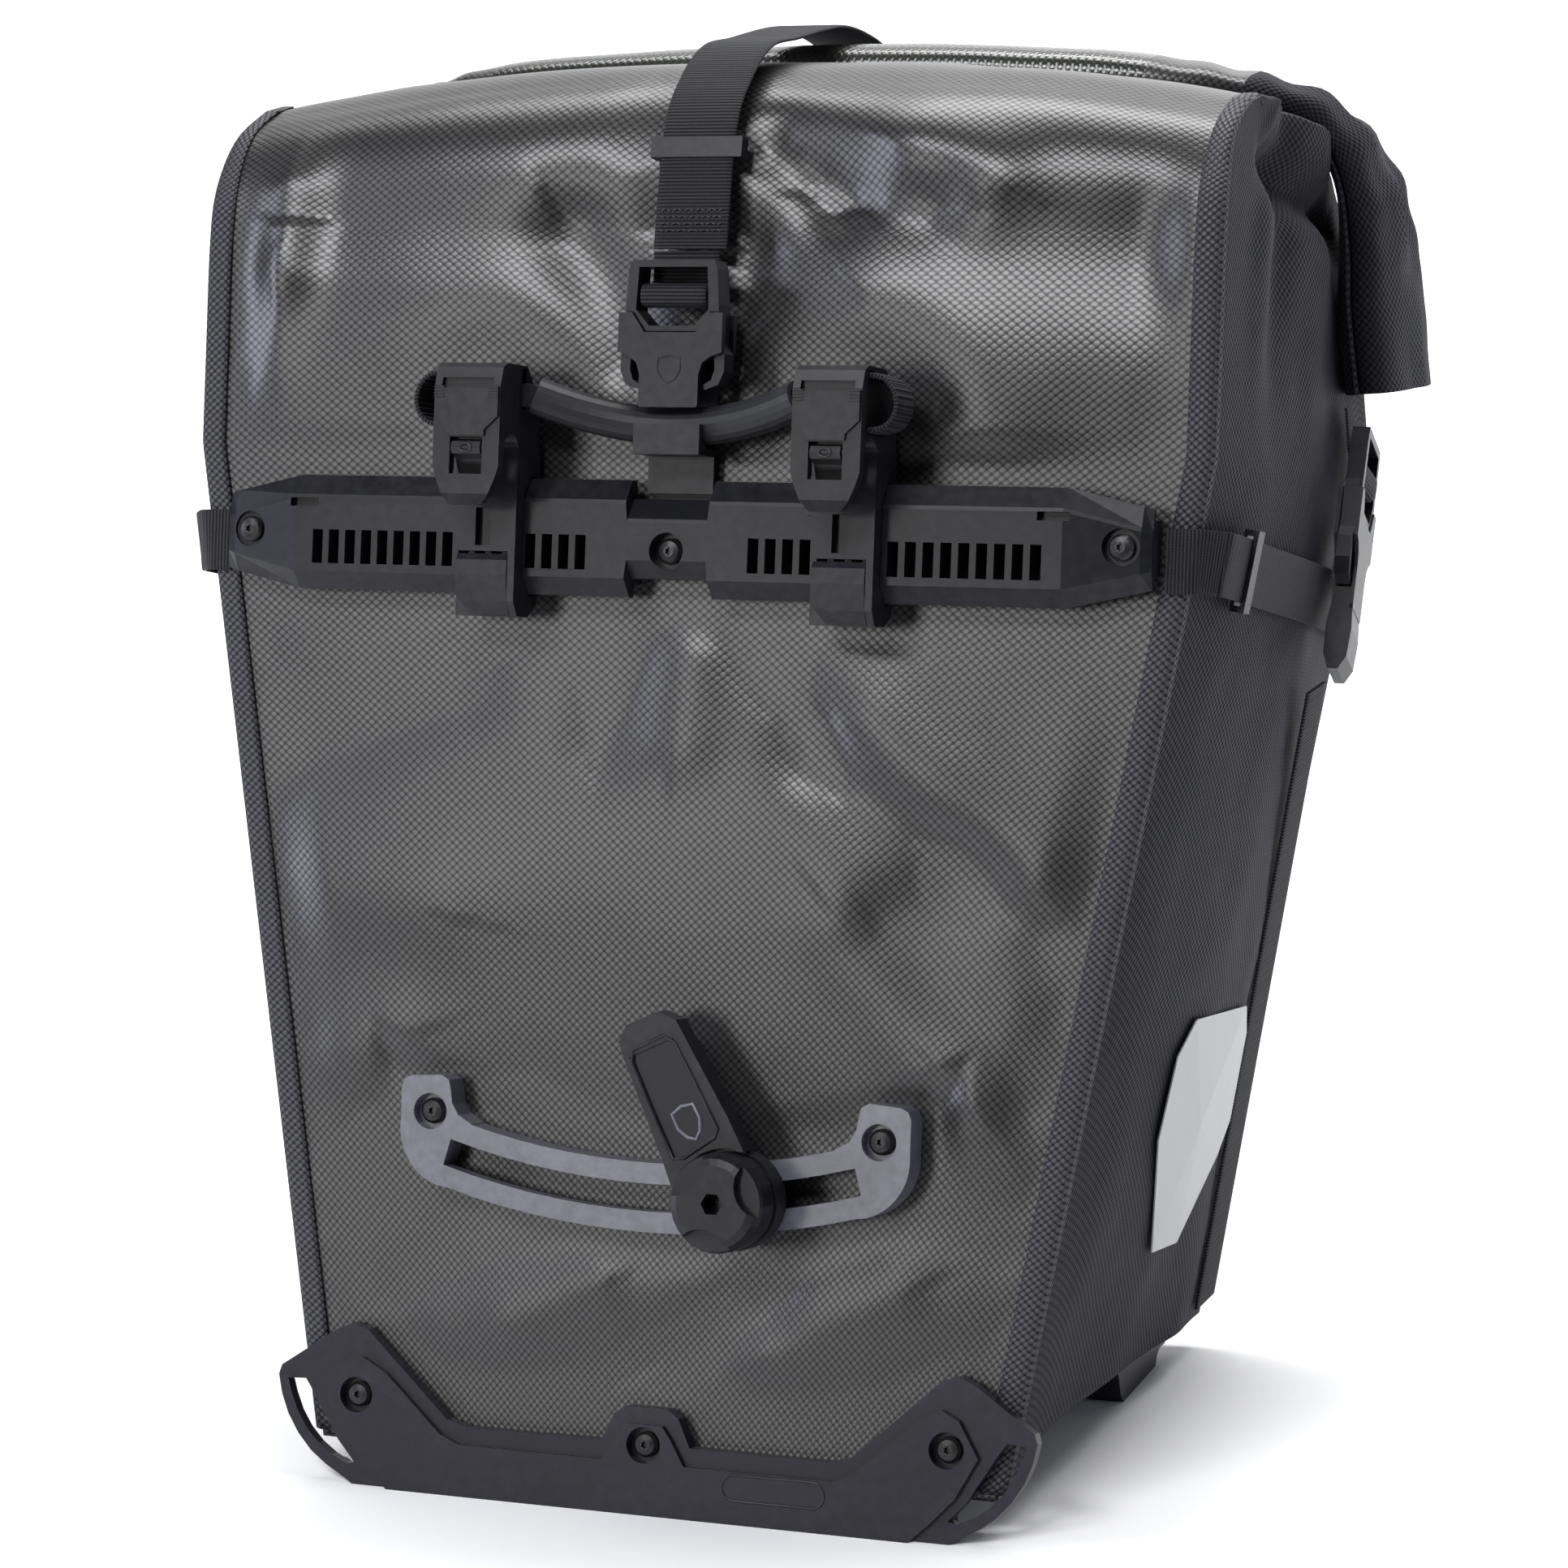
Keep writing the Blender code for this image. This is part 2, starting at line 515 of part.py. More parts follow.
def hook(side, word):
    x = side * HOOK_X
    edge = HOOK_HALF_WIDTH
    body = prism(hook_profile(), "x", x - edge, x + edge)
    cover = [(x + u, z) for u, z in mirrored([(0, 339), (10.6, 339), (10.6, 330.5), (6.2, 326.4), (6.2, 324.6),
                                               (0, 324.6)])]
    body = joined(body, prism(cover, "y", NOSE_FRONT - 0.9, NOSE_FRONT + 1))
    pivot_y, pivot_z = LATCH_PIVOT
    cutters = [
        slab((x - 5.4, x + 5.4), (-36, -30), (313, 324.2)),                    # latch window in the nose
        slab((x - 5.6, x + 5.6), (-33.1, -30), (300, 314)),                    # relief behind the nose skin
        slab((x - 5.4, x + 5.4), (-31, -19.8), (318, 338.6)),                  # room for the latch lever
        rod((pivot_y, pivot_z), LATCH_PIN + 0.25, "x", x - 8.4, x + 8.4, 16),  # latch pin bore
        slab((x - 8.6, x + 8.6), (-36, -32.2), (339.6, 342.2)),                # gap under the cap
        slab((x - 2.5, x + 2.5), (-21, -17.2), (292, 303.5)),                  # slot over the lever
        slab((x - 9.1, x + 8.7), (-21, -14.35), (268, 290.3)),                 # pocket of the lock lever
        slab((x - 12, x - 9.1), (-21, -14.35), (268, 303)),
    ]
    for flank in (-1, 1):
        corner = [(x + flank * u, z) for u, z in ((12, 319), (12, 303), (4.5, 303), (7.6, 306.5), (10, 312))]
        cutters.append(prism(corner, "y", -36, -30.4))
    outer = (x + side * 6.2, x + side * 12)
    inner = (x - side * 12, x + side * 3.0)
    for z in ((342.9, 345.5), (326.9, 329.5)):
        cutters.append(slab(sorted(outer), (-29.8, -14.8), z))                 # pockets of the end loop
    cutters.append(slab(sorted(inner), (-18.9, -15.5), (333.6, 346.3)))        # room for the handle strap
    part("hook_body_" + word, cut(body, *cutters), "hard_plastic", origin=(x, -17, RAIL_Z))

    lever = [(-2.6, 0), (-1.84, 1.84), (0, 2.6), (1.5, 2.5), (2.4, 13.5), (2.9, 15.2), (4.9, 15.2), (4.6, 13),
             (3.2, 1.4), (3.0, -1.0), (4.4, -4.6), (5.6, -7.2), (8.0, -8.9), (7.9, -10.6), (6.6, -11.4),
             (3.9, -8.6), (1.4, -3.4), (0, -2.6), (-1.84, -1.84)]
    latch = prism([(pivot_y + u, pivot_z + v) for u, v in lever], "x", x - 4.8, x + 4.8)
    latch = cut(latch, rod(LATCH_PIVOT, LATCH_PIN + 0.25, "x", x - 6, x + 6, 16))
    part("hook_latch_" + word, latch, "black_steel", origin=(x, pivot_y, pivot_z))
    part("latch_pin_" + word, rod(LATCH_PIVOT, LATCH_PIN, "x", x - 8.1, x + 8.1, 16), "black_steel",
         origin=(x, pivot_y, pivot_z))

    grip = [(-20, 287.6), (-18.8, 289.5), (-16.5, 289.4), (-14.9, 287.9), (-14.75, 277.5), (-14.9, 271.4),
            (-17.2, 271), (-19.4, 275), (-20.2, 283)]
    bar = prism(grip, "x", x - 8.7, x + 8.4)
    corner = [(x - 10, 270), (x - 10, 281), (x - 8.0, 275.5), (x - 3.5, 270)]
    part("lock_lever_" + word, cut(bar, prism(corner, "y", -24, -10)), "hard_plastic",
         origin=(x, *LEVER_PIVOT))

    ring = [(x + side * u, z) for u, z in ((6.7, 344.2), (11.4, 344.2), (15.6, 343.2), (18.6, 340), (19.7, 336),
                                           (18.8, 332), (15.9, 329.1), (11.4, 328.2), (6.7, 328.2))]
    part("handle_webbing_" + word, prism(thick_line(ring, 1.5), "y", -29.4, -15.2), "webbing",
         origin=(x, -17, RAIL_Z))


# ---------------------------------------------------------------- handle
def handle_point(x):
    share = (x / HANDLE_HALF_SPAN) ** 2
    return Vector((x, HANDLE_Y + (HANDLE_END_Y - HANDLE_Y) * share, HANDLE_Z + HANDLE_SAG * share))


def handle_rings(radius):
    rings = []
    for i in range(17):
        x = HANDLE_HALF_SPAN * (i / 8 - 1)
        along = (handle_point(x + 0.5) - handle_point(x - 0.5)).normalized()
        up = Vector((-along.z, 0, along.x)).normalized()
        across = along.cross(up)
        rings.append([tuple(handle_point(x) + across * u + up * v) for u, v in circle((0, 0), radius, 18)])
    return rings


def handle():
    part("handle_sleeve", loft(handle_rings(HANDLE_RADIUS), hollow=handle_rings(HANDLE_BORE)), "rubber",
         origin=tuple(handle_point(0)))
    end = handle_point(HANDLE_HALF_SPAN)
    stations = [(-TONGUE_END, end.y, end.z), (-HANDLE_HALF_SPAN - 2, end.y, end.z)]
    stations += [tuple(handle_point(x)) for x in (-40, -30, -20, -10, 0, 10, 20, 30, 40)]
    stations += [(-x, y, z) for x, y, z in reversed(stations[:2])]
    rings = [[(x, y + u, z + v) for u, v in ((-TONGUE_HALF_DEPTH, -TONGUE_HALF_HEIGHT),
                                             (TONGUE_HALF_DEPTH, -TONGUE_HALF_HEIGHT),
                                             (TONGUE_HALF_DEPTH, TONGUE_HALF_HEIGHT),
                                             (-TONGUE_HALF_DEPTH, TONGUE_HALF_HEIGHT))]
             for x, y, z in stations]
    part("handle_core", loft(rings), "webbing", origin=tuple(handle_point(0)))
    clip = [(-4.6, 309.5), (-2.4, 309.5), (-2.4, 323), (-11, 323), (-14.9, 325.4), (-14.9, 330), (-16.9, 330),
            (-16.9, 320.8), (-4.6, 320.8)]
    part("handle_clip", prism(clip, "x", -10.8, 10.8), "hard_plastic")
    band = slab((-10, 10), (-2.0, -0.5), (284.5, 350))
    part("buckle_strap", cut(band, rod(RAIL_SCREWS[1], SCREW_BORE, "y", -4, 2, 16)), "rubber")


# ---------------------------------------------------------------- buckles
def buckle_male():
    """Frame, webbing bar and two sprung arms; x across, front toward -y."""
    frame = prism(mirrored([(0, 379.5), (13.4, 379.5), (14.4, 377), (15.3, 364), (12.5, 363.9), (8.3, 358.0),
                            (0, 358.0)]), "y", -15.8, -6.8)
    window = prism(mirrored([(0, 377.4), (11.2, 377.4), (11.9, 364.6), (7.4, 359.6), (0, 359.6)]), "y", -20, 0)
    bar = slab((-12.5, 12.5), (-13.6, -10.4), (367.6, 370.4))
    body = joined(cut(frame, window), bar)
    for side in (-1, 1):
        arm = [(side * u, v) for u, v in ((15.3, 366), (15.2, 354), (17.0, 351.4), (17.0, 346), (15.2, 342),
                                          (10.8, 340.4), (10.2, 341.8), (12.8, 343.4), (13.9, 346.5),
                                          (13.6, 351), (12.6, 354.5), (12.6, 366))]
        body = joined(body, prism(arm, "y", -14.2, -6.8))
    return body


def buckle_female():
    """Front and back plates held apart by a web; the sprung arms show at the waist."""
    front = prism(mirrored([(0, 335), (9.3, 335), (9.7, 336), (9.7, 345), (10.8, 348.4), (13.5, 350.4),
                            (17, 351.6), (17, 363.5), (12.7, 363.5), (8.5, 357.6), (0, 357.6)]), "y", -16.8, -14.6)
    front = cut(front, slab((-11, 11), (-15.0, -14), (334, 342.5)))
    back = prism(mirrored([(0, 343), (9.7, 343), (9.7, 348), (16.6, 352), (16.6, 363.5), (12.7, 363.5),
                           (8.5, 357.6), (0, 357.6)]), "y", -6.4, -4.4)
    web = slab((-6, 6), (-15.6, -5.4), (343, 356.6))
    return joined(front, web, back)


def buckle_loop():
    """Webbing sewn round the male bar."""
    path = [(-5.8, 383), (-5.8, 373.5), (-8.6, 371.8), (-14.2, 371.7), (-15.1, 369.2), (-14.3, 366.5),
            (-9.4, 366.2), (-7.6, 368.6)]
    return prism(thick_line(path, WEBBING), "x", -10.8, 10.8)


SIDE_BUCKLE = (177.2, 112.0, 281.0)    # lower end of the side buckle's centre line
SIDE_BUCKLE_TURN = math.radians(6.0)   # each faces outward and a little toward the street side
SIDE_BUCKLE_TILT = math.radians(17.3)  # and leans with its upper end toward the street side
SIDE_WEBBING = ((169.6, 110, 258), (124.8, 163, 57))


def adjusting_female():
    """The female half with the round-backed strap adjuster moulded to its lower end."""
    slug = [(-16.4, 344), (-5.6, 344), (-5.6, 336), (-4.2, 331), (-4.6, 323.5), (-7.6, 319.8), (-12.6, 319.8),
            (-16.4, 323), (-17.3, 330), (-16.4, 336)]
    return joined(buckle_female(), prism(slug, "x", -9.0, 9.0))


def side_buckle(build, side):
    """The same kind of buckle, slimmer and longer, hung at the side of the bag."""
    bm = build()
    middle_y, low = -10.6, 335.0
    bmesh.ops.transform(bm, matrix=Matrix.Translation((0, -middle_y, -low)), verts=bm.verts)
    bmesh.ops.transform(bm, matrix=Matrix.Diagonal((0.85, 0.62, 1.32, 1)), verts=bm.verts)
    turn = Matrix.Rotation(side * (math.radians(90) + SIDE_BUCKLE_TURN), 3, "Z")
    lean = Matrix.Rotation(-SIDE_BUCKLE_TILT, 3, "X")
    return moved(bm, (side * SIDE_BUCKLE[0], *SIDE_BUCKLE[1:]), lean @ turn)


def buckles():
    part("top_buckle_male", buckle_male(), "hard_plastic")
    part("top_buckle_female", buckle_female(), "hard_plastic")
    part("buckle_loop", buckle_loop(), "webbing")
    for side, word in ((-1, "left"), (1, "right")):
        centre = (side * SIDE_BUCKLE[0], SIDE_BUCKLE[1] + 9, 310)
        part("side_buckle_male_" + word, side_buckle(buckle_male, side), "hard_plastic", origin=centre)
        part("side_buckle_female_" + word, side_buckle(adjusting_female, side), "hard_plastic", origin=centre)
        part("side_buckle_loop_" + word, side_buckle(buckle_loop, side), "webbing", origin=centre)


# ---------------------------------------------------------------- webbing straps
def straps():
    path = [(-3.6, 384), (1.5, 421), (12, 437.5), (28, 449.4), (50, 455.5), (74, 461.6), (90, 464.6), (108, 464.9),
            (126, 462.6), (141, 454.5), (154, 441), (164, 421), (171, 390), (172.6, 350), (172.6, 332)]
    part("top_strap", prism(thick_line(path, WEBBING), "x", -STRAP_HALF_WIDTH, STRAP_HALF_WIDTH), "webbing")

    height, low, rise = 415.0, -15.0, Vector((5.1, 37)).normalized()
    centre = Vector((-3.6, 384)) + rise * ((height - 384) / rise.y)
    turn = Matrix.Rotation(-math.atan2(rise.x, rise.y), 3, "X")
    frame = slab((low, -low), (-2.4, 2.4), (-3.2, 3.2))
    frame = cut(frame, slab((-12.5, 12.5), (-1.1, 1.1), (-5, 5)))
    part("strap_keeper", moved(frame, (0, centre.x, centre.y), turn), "hard_plastic",
         origin=(0, centre.x, centre.y))

    for side, word in ((-1, "left"), (1, "right")):
        width = half_width(292)
        plan = [(154.5, -2.2), (width - 4, -2.4), (width - 0.5, -2.1), (width + 2.6, 0), (width + 6.2, 5),
                (width + STRAP_STAND, 12), (width + STRAP_STAND, 58), (width + 7.7, 86),
                (width + 6.7, 114), (width + 4.8, 142), (width + 2.6, 160), (width + 1.4, DEPTH),
                (width - 1.5, DEPTH + 2.4), (width - 8, DEPTH + 3), (width - 26, DEPTH + 3)]
        band = prism(thick_line(plan, WEBBING), "z", -SIDE_STRAP_HALF_WIDTH, SIDE_STRAP_HALF_WIDTH)
        for vertex in band.verts:
            reach = min(1, max(0, (vertex.co.x - 150) / 12))
            vertex.co.x = side * (vertex.co.x + SIDE_SLOPE * reach * vertex.co.z)
            vertex.co.z += 292.5 - 0.055 * max(0, vertex.co.y)
        part("side_strap_" + word, closed(band), "webbing")

        y = 27.0
        middle = Vector((side * (width + STRAP_STAND), y, 292.5 - 0.055 * y))
        frame = slab((-2.3, 2.3), (-3.0, 3.0), (-12.4, 12.4))
        frame = cut(frame, slab((-1.15, 1.15), (-5, 5), (-10.6, 10.6)))
        turn = Matrix.Rotation(side * math.atan(SIDE_SLOPE), 3, "Y")
        part("strap_slider_" + word, moved(frame, tuple(middle), turn), "hard_plastic", origin=tuple(middle))

        top, low = (Vector(end) for end in SIDE_WEBBING)
        down = (low - top).normalized()
        along = (Vector((0, 1, 0)) - down * down.y).normalized()
        out = down.cross(along) * WEBBING / 2
        rings = []
        for end in (top, low):
            ring = [end + along * 8.5 * a + out * b for a, b in ((-1, -1), (1, -1), (1, 1), (-1, 1))]
            rings.append([(side * p.x, p.y, p.z) for p in ring])
        part("side_webbing_" + word, loft(rings), "webbing")


# ---------------------------------------------------------------- arc rail and anchor
def on_arc(radius, angle):
    """Point at an angle from straight down about the arc's centre."""
    return (radius * math.sin(angle), ARC_CENTRE_Z - radius * math.cos(angle))


def arc_band(half, angle, steps=14):
    """Outline of a stretch of the arc, `half` wide on each side of its middle line."""
    spread = [angle * (2 * i / steps - 1) for i in range(steps + 1)]
    return [on_arc(ARC_RADIUS + half, a) for a in spread] + [on_arc(ARC_RADIUS - half, -a) for a in spread]


def arc_rail():
    band = arc_band(ARC_HALF_WIDTH, math.asin(66 / ARC_RADIUS))
    body = prism(band, "y", ARC_FRONT, -GAP)
    sweep = [math.radians(a) for a in range(-74, 9, 9)]
    ear = [(60, 92.6)] + [(66 + 18.3 * math.cos(a), 112 + 18.3 * math.sin(a)) for a in sweep]
    ear += [(84.2, 124.4), (83.2, 126.8), (81, 127.9), (70.6, 128.6), (68.2, 127.2), (67.4, 124), (66.8, 120),
            (64.6, 116.6), (60, 114)]
    for side in (-1, 1):
        body = joined(body, prism([(side * u, v) for u, v in ear], "y", ARC_FRONT, -GAP))
    cutters = [prism(arc_band(ARC_SLOT_HALF_WIDTH, ARC_HALF_ANGLE), "y", -20, 2)]
    cutters.append(prism(arc_band(7.6, ARC_HALF_ANGLE), "y", -4.8, 2))
    cutters += [recess(s, ARC_FRONT, -6.4) for s in ARC_SCREWS]
    part("arc_rail", cut(body, *cutters), "grey_plastic")
    for (side, word), at in zip((SIDES[0], SIDES[2]), ARC_SCREWS):
        screw("arc_screw_" + word, at, -6.7, 14.0)


def anchor():
    axis = (BOLT_X, BOLT_Z)
    head = prism(circle(axis, 6.8, 6, start=math.pi / 6), "y", -4.4, -0.9)
    neck = rod(axis, 3.6, "y", -22.5, -3.0, 20)
    part("anchor_bolt", joined(head, neck), "black_steel", origin=(BOLT_X, -2, BOLT_Z))

    tip = [(-10.3, 52), (-9.6, 57.5), (-5, 61), (6, 60.3), (10.3, 55.5)]
    arm = [(12.4, 10.8)] + [(12.4, 22), (11.3, 40)] + tip[::-1] + [(-11.2, 40), (-12.6, 20), (-14, 7.5)]
    base = circle((0, 0), 15.4, 28)
    thick = prism(arm, "y", -22.0, -13.6)
    foot = prism(base, "y", -17.6, ARC_FRONT - GAP)
    lip = slab((-8, 8), (-14, -10.6), (50, 56))
    body = joined(thick, foot, lip)
    body = cut(body, rod((0, 0), 16.0, "y", -30, -17.6, 28), rod((0, 0), 3.9, "y", -30, 0, 20),
               prism([(-9.6, 18), (8.2, 19.5), (7.2, 51), (-8.4, 52)], "y", -24, -21.3))
    turn = Matrix.Rotation(-ARM_ANGLE, 3, "Y")
    part("anchor_hook", moved(body, (BOLT_X, 0, BOLT_Z), turn), "hard_plastic", origin=(BOLT_X, -14, BOLT_Z))

    knob = loft([[place("y", y, p) for p in circle((0, 0), r, 30)]
                 for y, r in ((-17.9, 14.2), (-19.5, 15), (-28, KNOB_RADIUS), (-31, 13.6), (-32, 11.5))])
    cutters = [rod((0, 0), 3.9, "y", -22.8, -10, 20), prism(circle((0, 0), 3.5, 6), "y", -34, -25.5)]
    for k in range(3):
        angle = math.radians(20 + 120 * k)
        cutters.append(rod((17.5 * math.cos(angle), 17.5 * math.sin(angle)), 9.6, "y", -34, -29.2, 24))
    part("anchor_knob", moved(cut(knob, *cutters), (BOLT_X, 0, BOLT_Z)), "hard_plastic",
         origin=(BOLT_X, -18, BOLT_Z))


# ---------------------------------------------------------------- protector and feet
def ground_cutter():
    """Everything below the plane the bag stands on."""
    slope = math.tan(LEAN)
    return prism([(-60, -60 * slope), (260, 260 * slope), (260, -60), (-60, -60)], "x", -200, 200)


def protector():
    plate = [(0, 31), (7, 31), (10.6, 28.6), (14.6, 20), (40, 19.7), (60, 19.8), (67, 21.6), (95.5, 47.4),
             (100.5, 49), (106, 46.6), (124.9, 34), (125.9, 31), (124.6, 25), (122.1, 18.8), (118.4, 13),
             (113.8, 8), (108.6, 4.2), (102, 0.6), (95, -4), (0, -4)]
    raised = [(0, 26), (6, 26), (9, 22), (13.5, 14.4), (62, 14.4), (68.5, 17), (88, 34.6), (96, 38.8),
              (101.5, 36), (108, 25.2), (101, 12.6), (93, 4.2), (84, -4), (0, -4)]
    body = joined(prism(mirrored(plate), "y", PROTECTOR_FRONT, -GAP),
                  prism(mirrored(raised), "y", PROTECTOR_FRONT - PROTECTOR_STEP, -1),
                  slab((-96, 96), (PROTECTOR_FRONT, 11), (-4, 11.4)))
    cutters = [ground_cutter()]
    for side in (-1, 1):
        gap = [(side * u, v) for u, v in ((122.6, 30), (121.2, 25.4), (118.9, 20), (115.6, 15), (111.4, 10.7),
                                          (106.6, 7.4), (101.6, 5), (98.6, 5.6), (104.6, 12.4), (109.6, 20),
                                          (113.6, 26.6), (116.4, 30.4))]
        cutters.append(prism(gap, "y", -20, 4))
        cutters.append(slab(sorted((side * 104, side * 130)), (-1.2, 4), (0, 60)))
    cutters += [recess(s, PROTECTOR_FRONT - PROTECTOR_STEP, -3.4) for s in PROTECTOR_SCREWS]
    part("edge_protector", cut(body, *cutters), "guard_plastic")
    for (side, word), at in zip(SIDES, PROTECTOR_SCREWS):
        screw("protector_screw_" + word, at, -3.7, 5.8)


def feet():
    for side, word in ((-1, "left"), (1, "right")):
        x = side * FOOT_X
        toe, ground = FOOT_TOE
        profile = [(110, bottom_edge(110) - 0.7), (158, bottom_edge(158) - 0.7), (161.6, 48), (162, 45.5),
                   (159.5, 42.6), (154, 41.6), (151.6, 39.6), (toe, ground), (toe - 2, ground - 2.4), (122, 24),
                   (114, 31), (110.6, 38)]
        body = prism(profile, "x", x - 9, x + 9)
        part("foot_" + word, cut(body, ground_cutter()), "guard_plastic")


# ---------------------------------------------------------------- assembly
def stand_on_ground(frame):
    """Move the whole bag so that its box stands on z = 0, centred on the origin."""
    bpy.context.view_layer.update()
    corners = [obj.matrix_world @ vertex.co for obj in bpy.data.objects if obj.type == "MESH"
               for vertex in obj.data.vertices]
    low = [min(c[i] for c in corners) for i in range(3)]
    high = [max(c[i] for c in corners) for i in range(3)]
    frame.location -= Vector(((low[0] + high[0]) / 2, (low[1] + high[1]) / 2, low[2]))
    bpy.context.view_layer.update()


def main():
    for obj in list(bpy.data.objects):
        bpy.data.objects.remove(obj)
    frame = bpy.data.objects.new("pannier", None)
    bpy.context.scene.collection.objects.link(frame)
    frame.rotation_euler = (-LEAN, 0, 0)
    fabric()
    for side, word in ((-1, "left"), (1, "right")):
        part("reflector_" + word, reflector(side), "reflective")
        hook(side, word)
    rail()
    handle()
    buckles()
    straps()
    arc_rail()
    anchor()
    protector()
    feet()
    stand_on_ground(frame)


main()
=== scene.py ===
"""Looks of the roll-top pannier bag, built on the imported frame.

Soft parts are lofted skins that replace their plain CAD solids; the moulded parts keep
their CAD shape and gain rounded edges and finishes. Lengths are millimetres in the bag's
own leaning frame (x across, y toward the street side, z up the bag); at() places them.
Lengths inside the materials are metres, since they measure the placed mesh.
"""
import json
import math

import bmesh
import bpy
from mathutils import Matrix, Vector, noise


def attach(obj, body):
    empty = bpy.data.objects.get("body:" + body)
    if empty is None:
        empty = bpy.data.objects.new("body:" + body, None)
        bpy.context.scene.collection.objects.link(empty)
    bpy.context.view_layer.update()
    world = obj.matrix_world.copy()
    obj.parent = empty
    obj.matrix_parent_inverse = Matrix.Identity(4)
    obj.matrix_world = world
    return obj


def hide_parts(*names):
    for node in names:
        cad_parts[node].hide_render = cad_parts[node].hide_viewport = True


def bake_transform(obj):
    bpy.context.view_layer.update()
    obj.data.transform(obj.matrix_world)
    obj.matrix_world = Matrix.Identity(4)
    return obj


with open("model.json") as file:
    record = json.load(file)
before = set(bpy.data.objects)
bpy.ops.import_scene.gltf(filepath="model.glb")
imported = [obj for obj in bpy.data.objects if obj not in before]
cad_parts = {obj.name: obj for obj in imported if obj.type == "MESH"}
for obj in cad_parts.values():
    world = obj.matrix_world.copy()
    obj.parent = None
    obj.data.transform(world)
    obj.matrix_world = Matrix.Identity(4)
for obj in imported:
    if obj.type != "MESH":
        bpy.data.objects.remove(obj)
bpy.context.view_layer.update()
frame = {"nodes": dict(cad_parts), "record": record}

MM = 0.001

# ---- the bag's leaning frame, from the record's joints ----
JOINT = {joint["name"]: joint for joint in frame["record"]["behaviour"]["joints"]}
RIGHT = Vector((1, 0, 0))
UP = Vector(JOINT["handle_pull"]["axis"]).normalized()
OUT = Vector((0, UP.z, -UP.y))
HOOK_X, LATCH_Y, LATCH_Z = 58.5, -32.0, 321.0
ORIGIN = Vector(JOINT["latch_turn_right"]["pos_m"]) - (RIGHT * HOOK_X + OUT * LATCH_Y + UP * LATCH_Z) * MM

# ---- the bag's shape, as the CAD has it ----
DEPTH = 170.0
BASE_HALF_WIDTH, SIDE_SLOPE, TOP_HALF_WIDTH = 113.0, 0.17, 168.0
RAIL_Z = 295.4
ARC_CENTRE_Z, ARC_RADIUS = 347.6, 252.0
BOLT_X = 30.0
ARM_ANGLE = math.radians(29)
SIDE_BUCKLE = Vector((177.2, 112, 281))
SIDE_BUCKLE_TILT = math.radians(17.3)
STRAP_STAND = 7.8
STREET_FOOT_Z = 55
FABRIC = 0.9
SIDES = ((-1, "left"), (1, "right"))


def at(point):
    x, y, z = point
    return ORIGIN + (RIGHT * x + OUT * y + UP * z) * MM


def half_width(z):
    return min(TOP_HALF_WIDTH, BASE_HALF_WIDTH + SIDE_SLOPE * z)


def bottom_edge(y):
    return 13 + 16 * (1 - math.exp(-max(y, 0) / 14)) + 0.133 * y


def smooth(low, high, value):
    t = min(1.0, max(0.0, (value - low) / (high - low)))
    return t * t * (3 - 2 * t)


def ripple(x, y, z, size, seed=0.0):
    """Soft noise from -1 to 1 with features about `size` across."""
    return noise.noise(Vector((x / size + seed, y / size, z / size)))


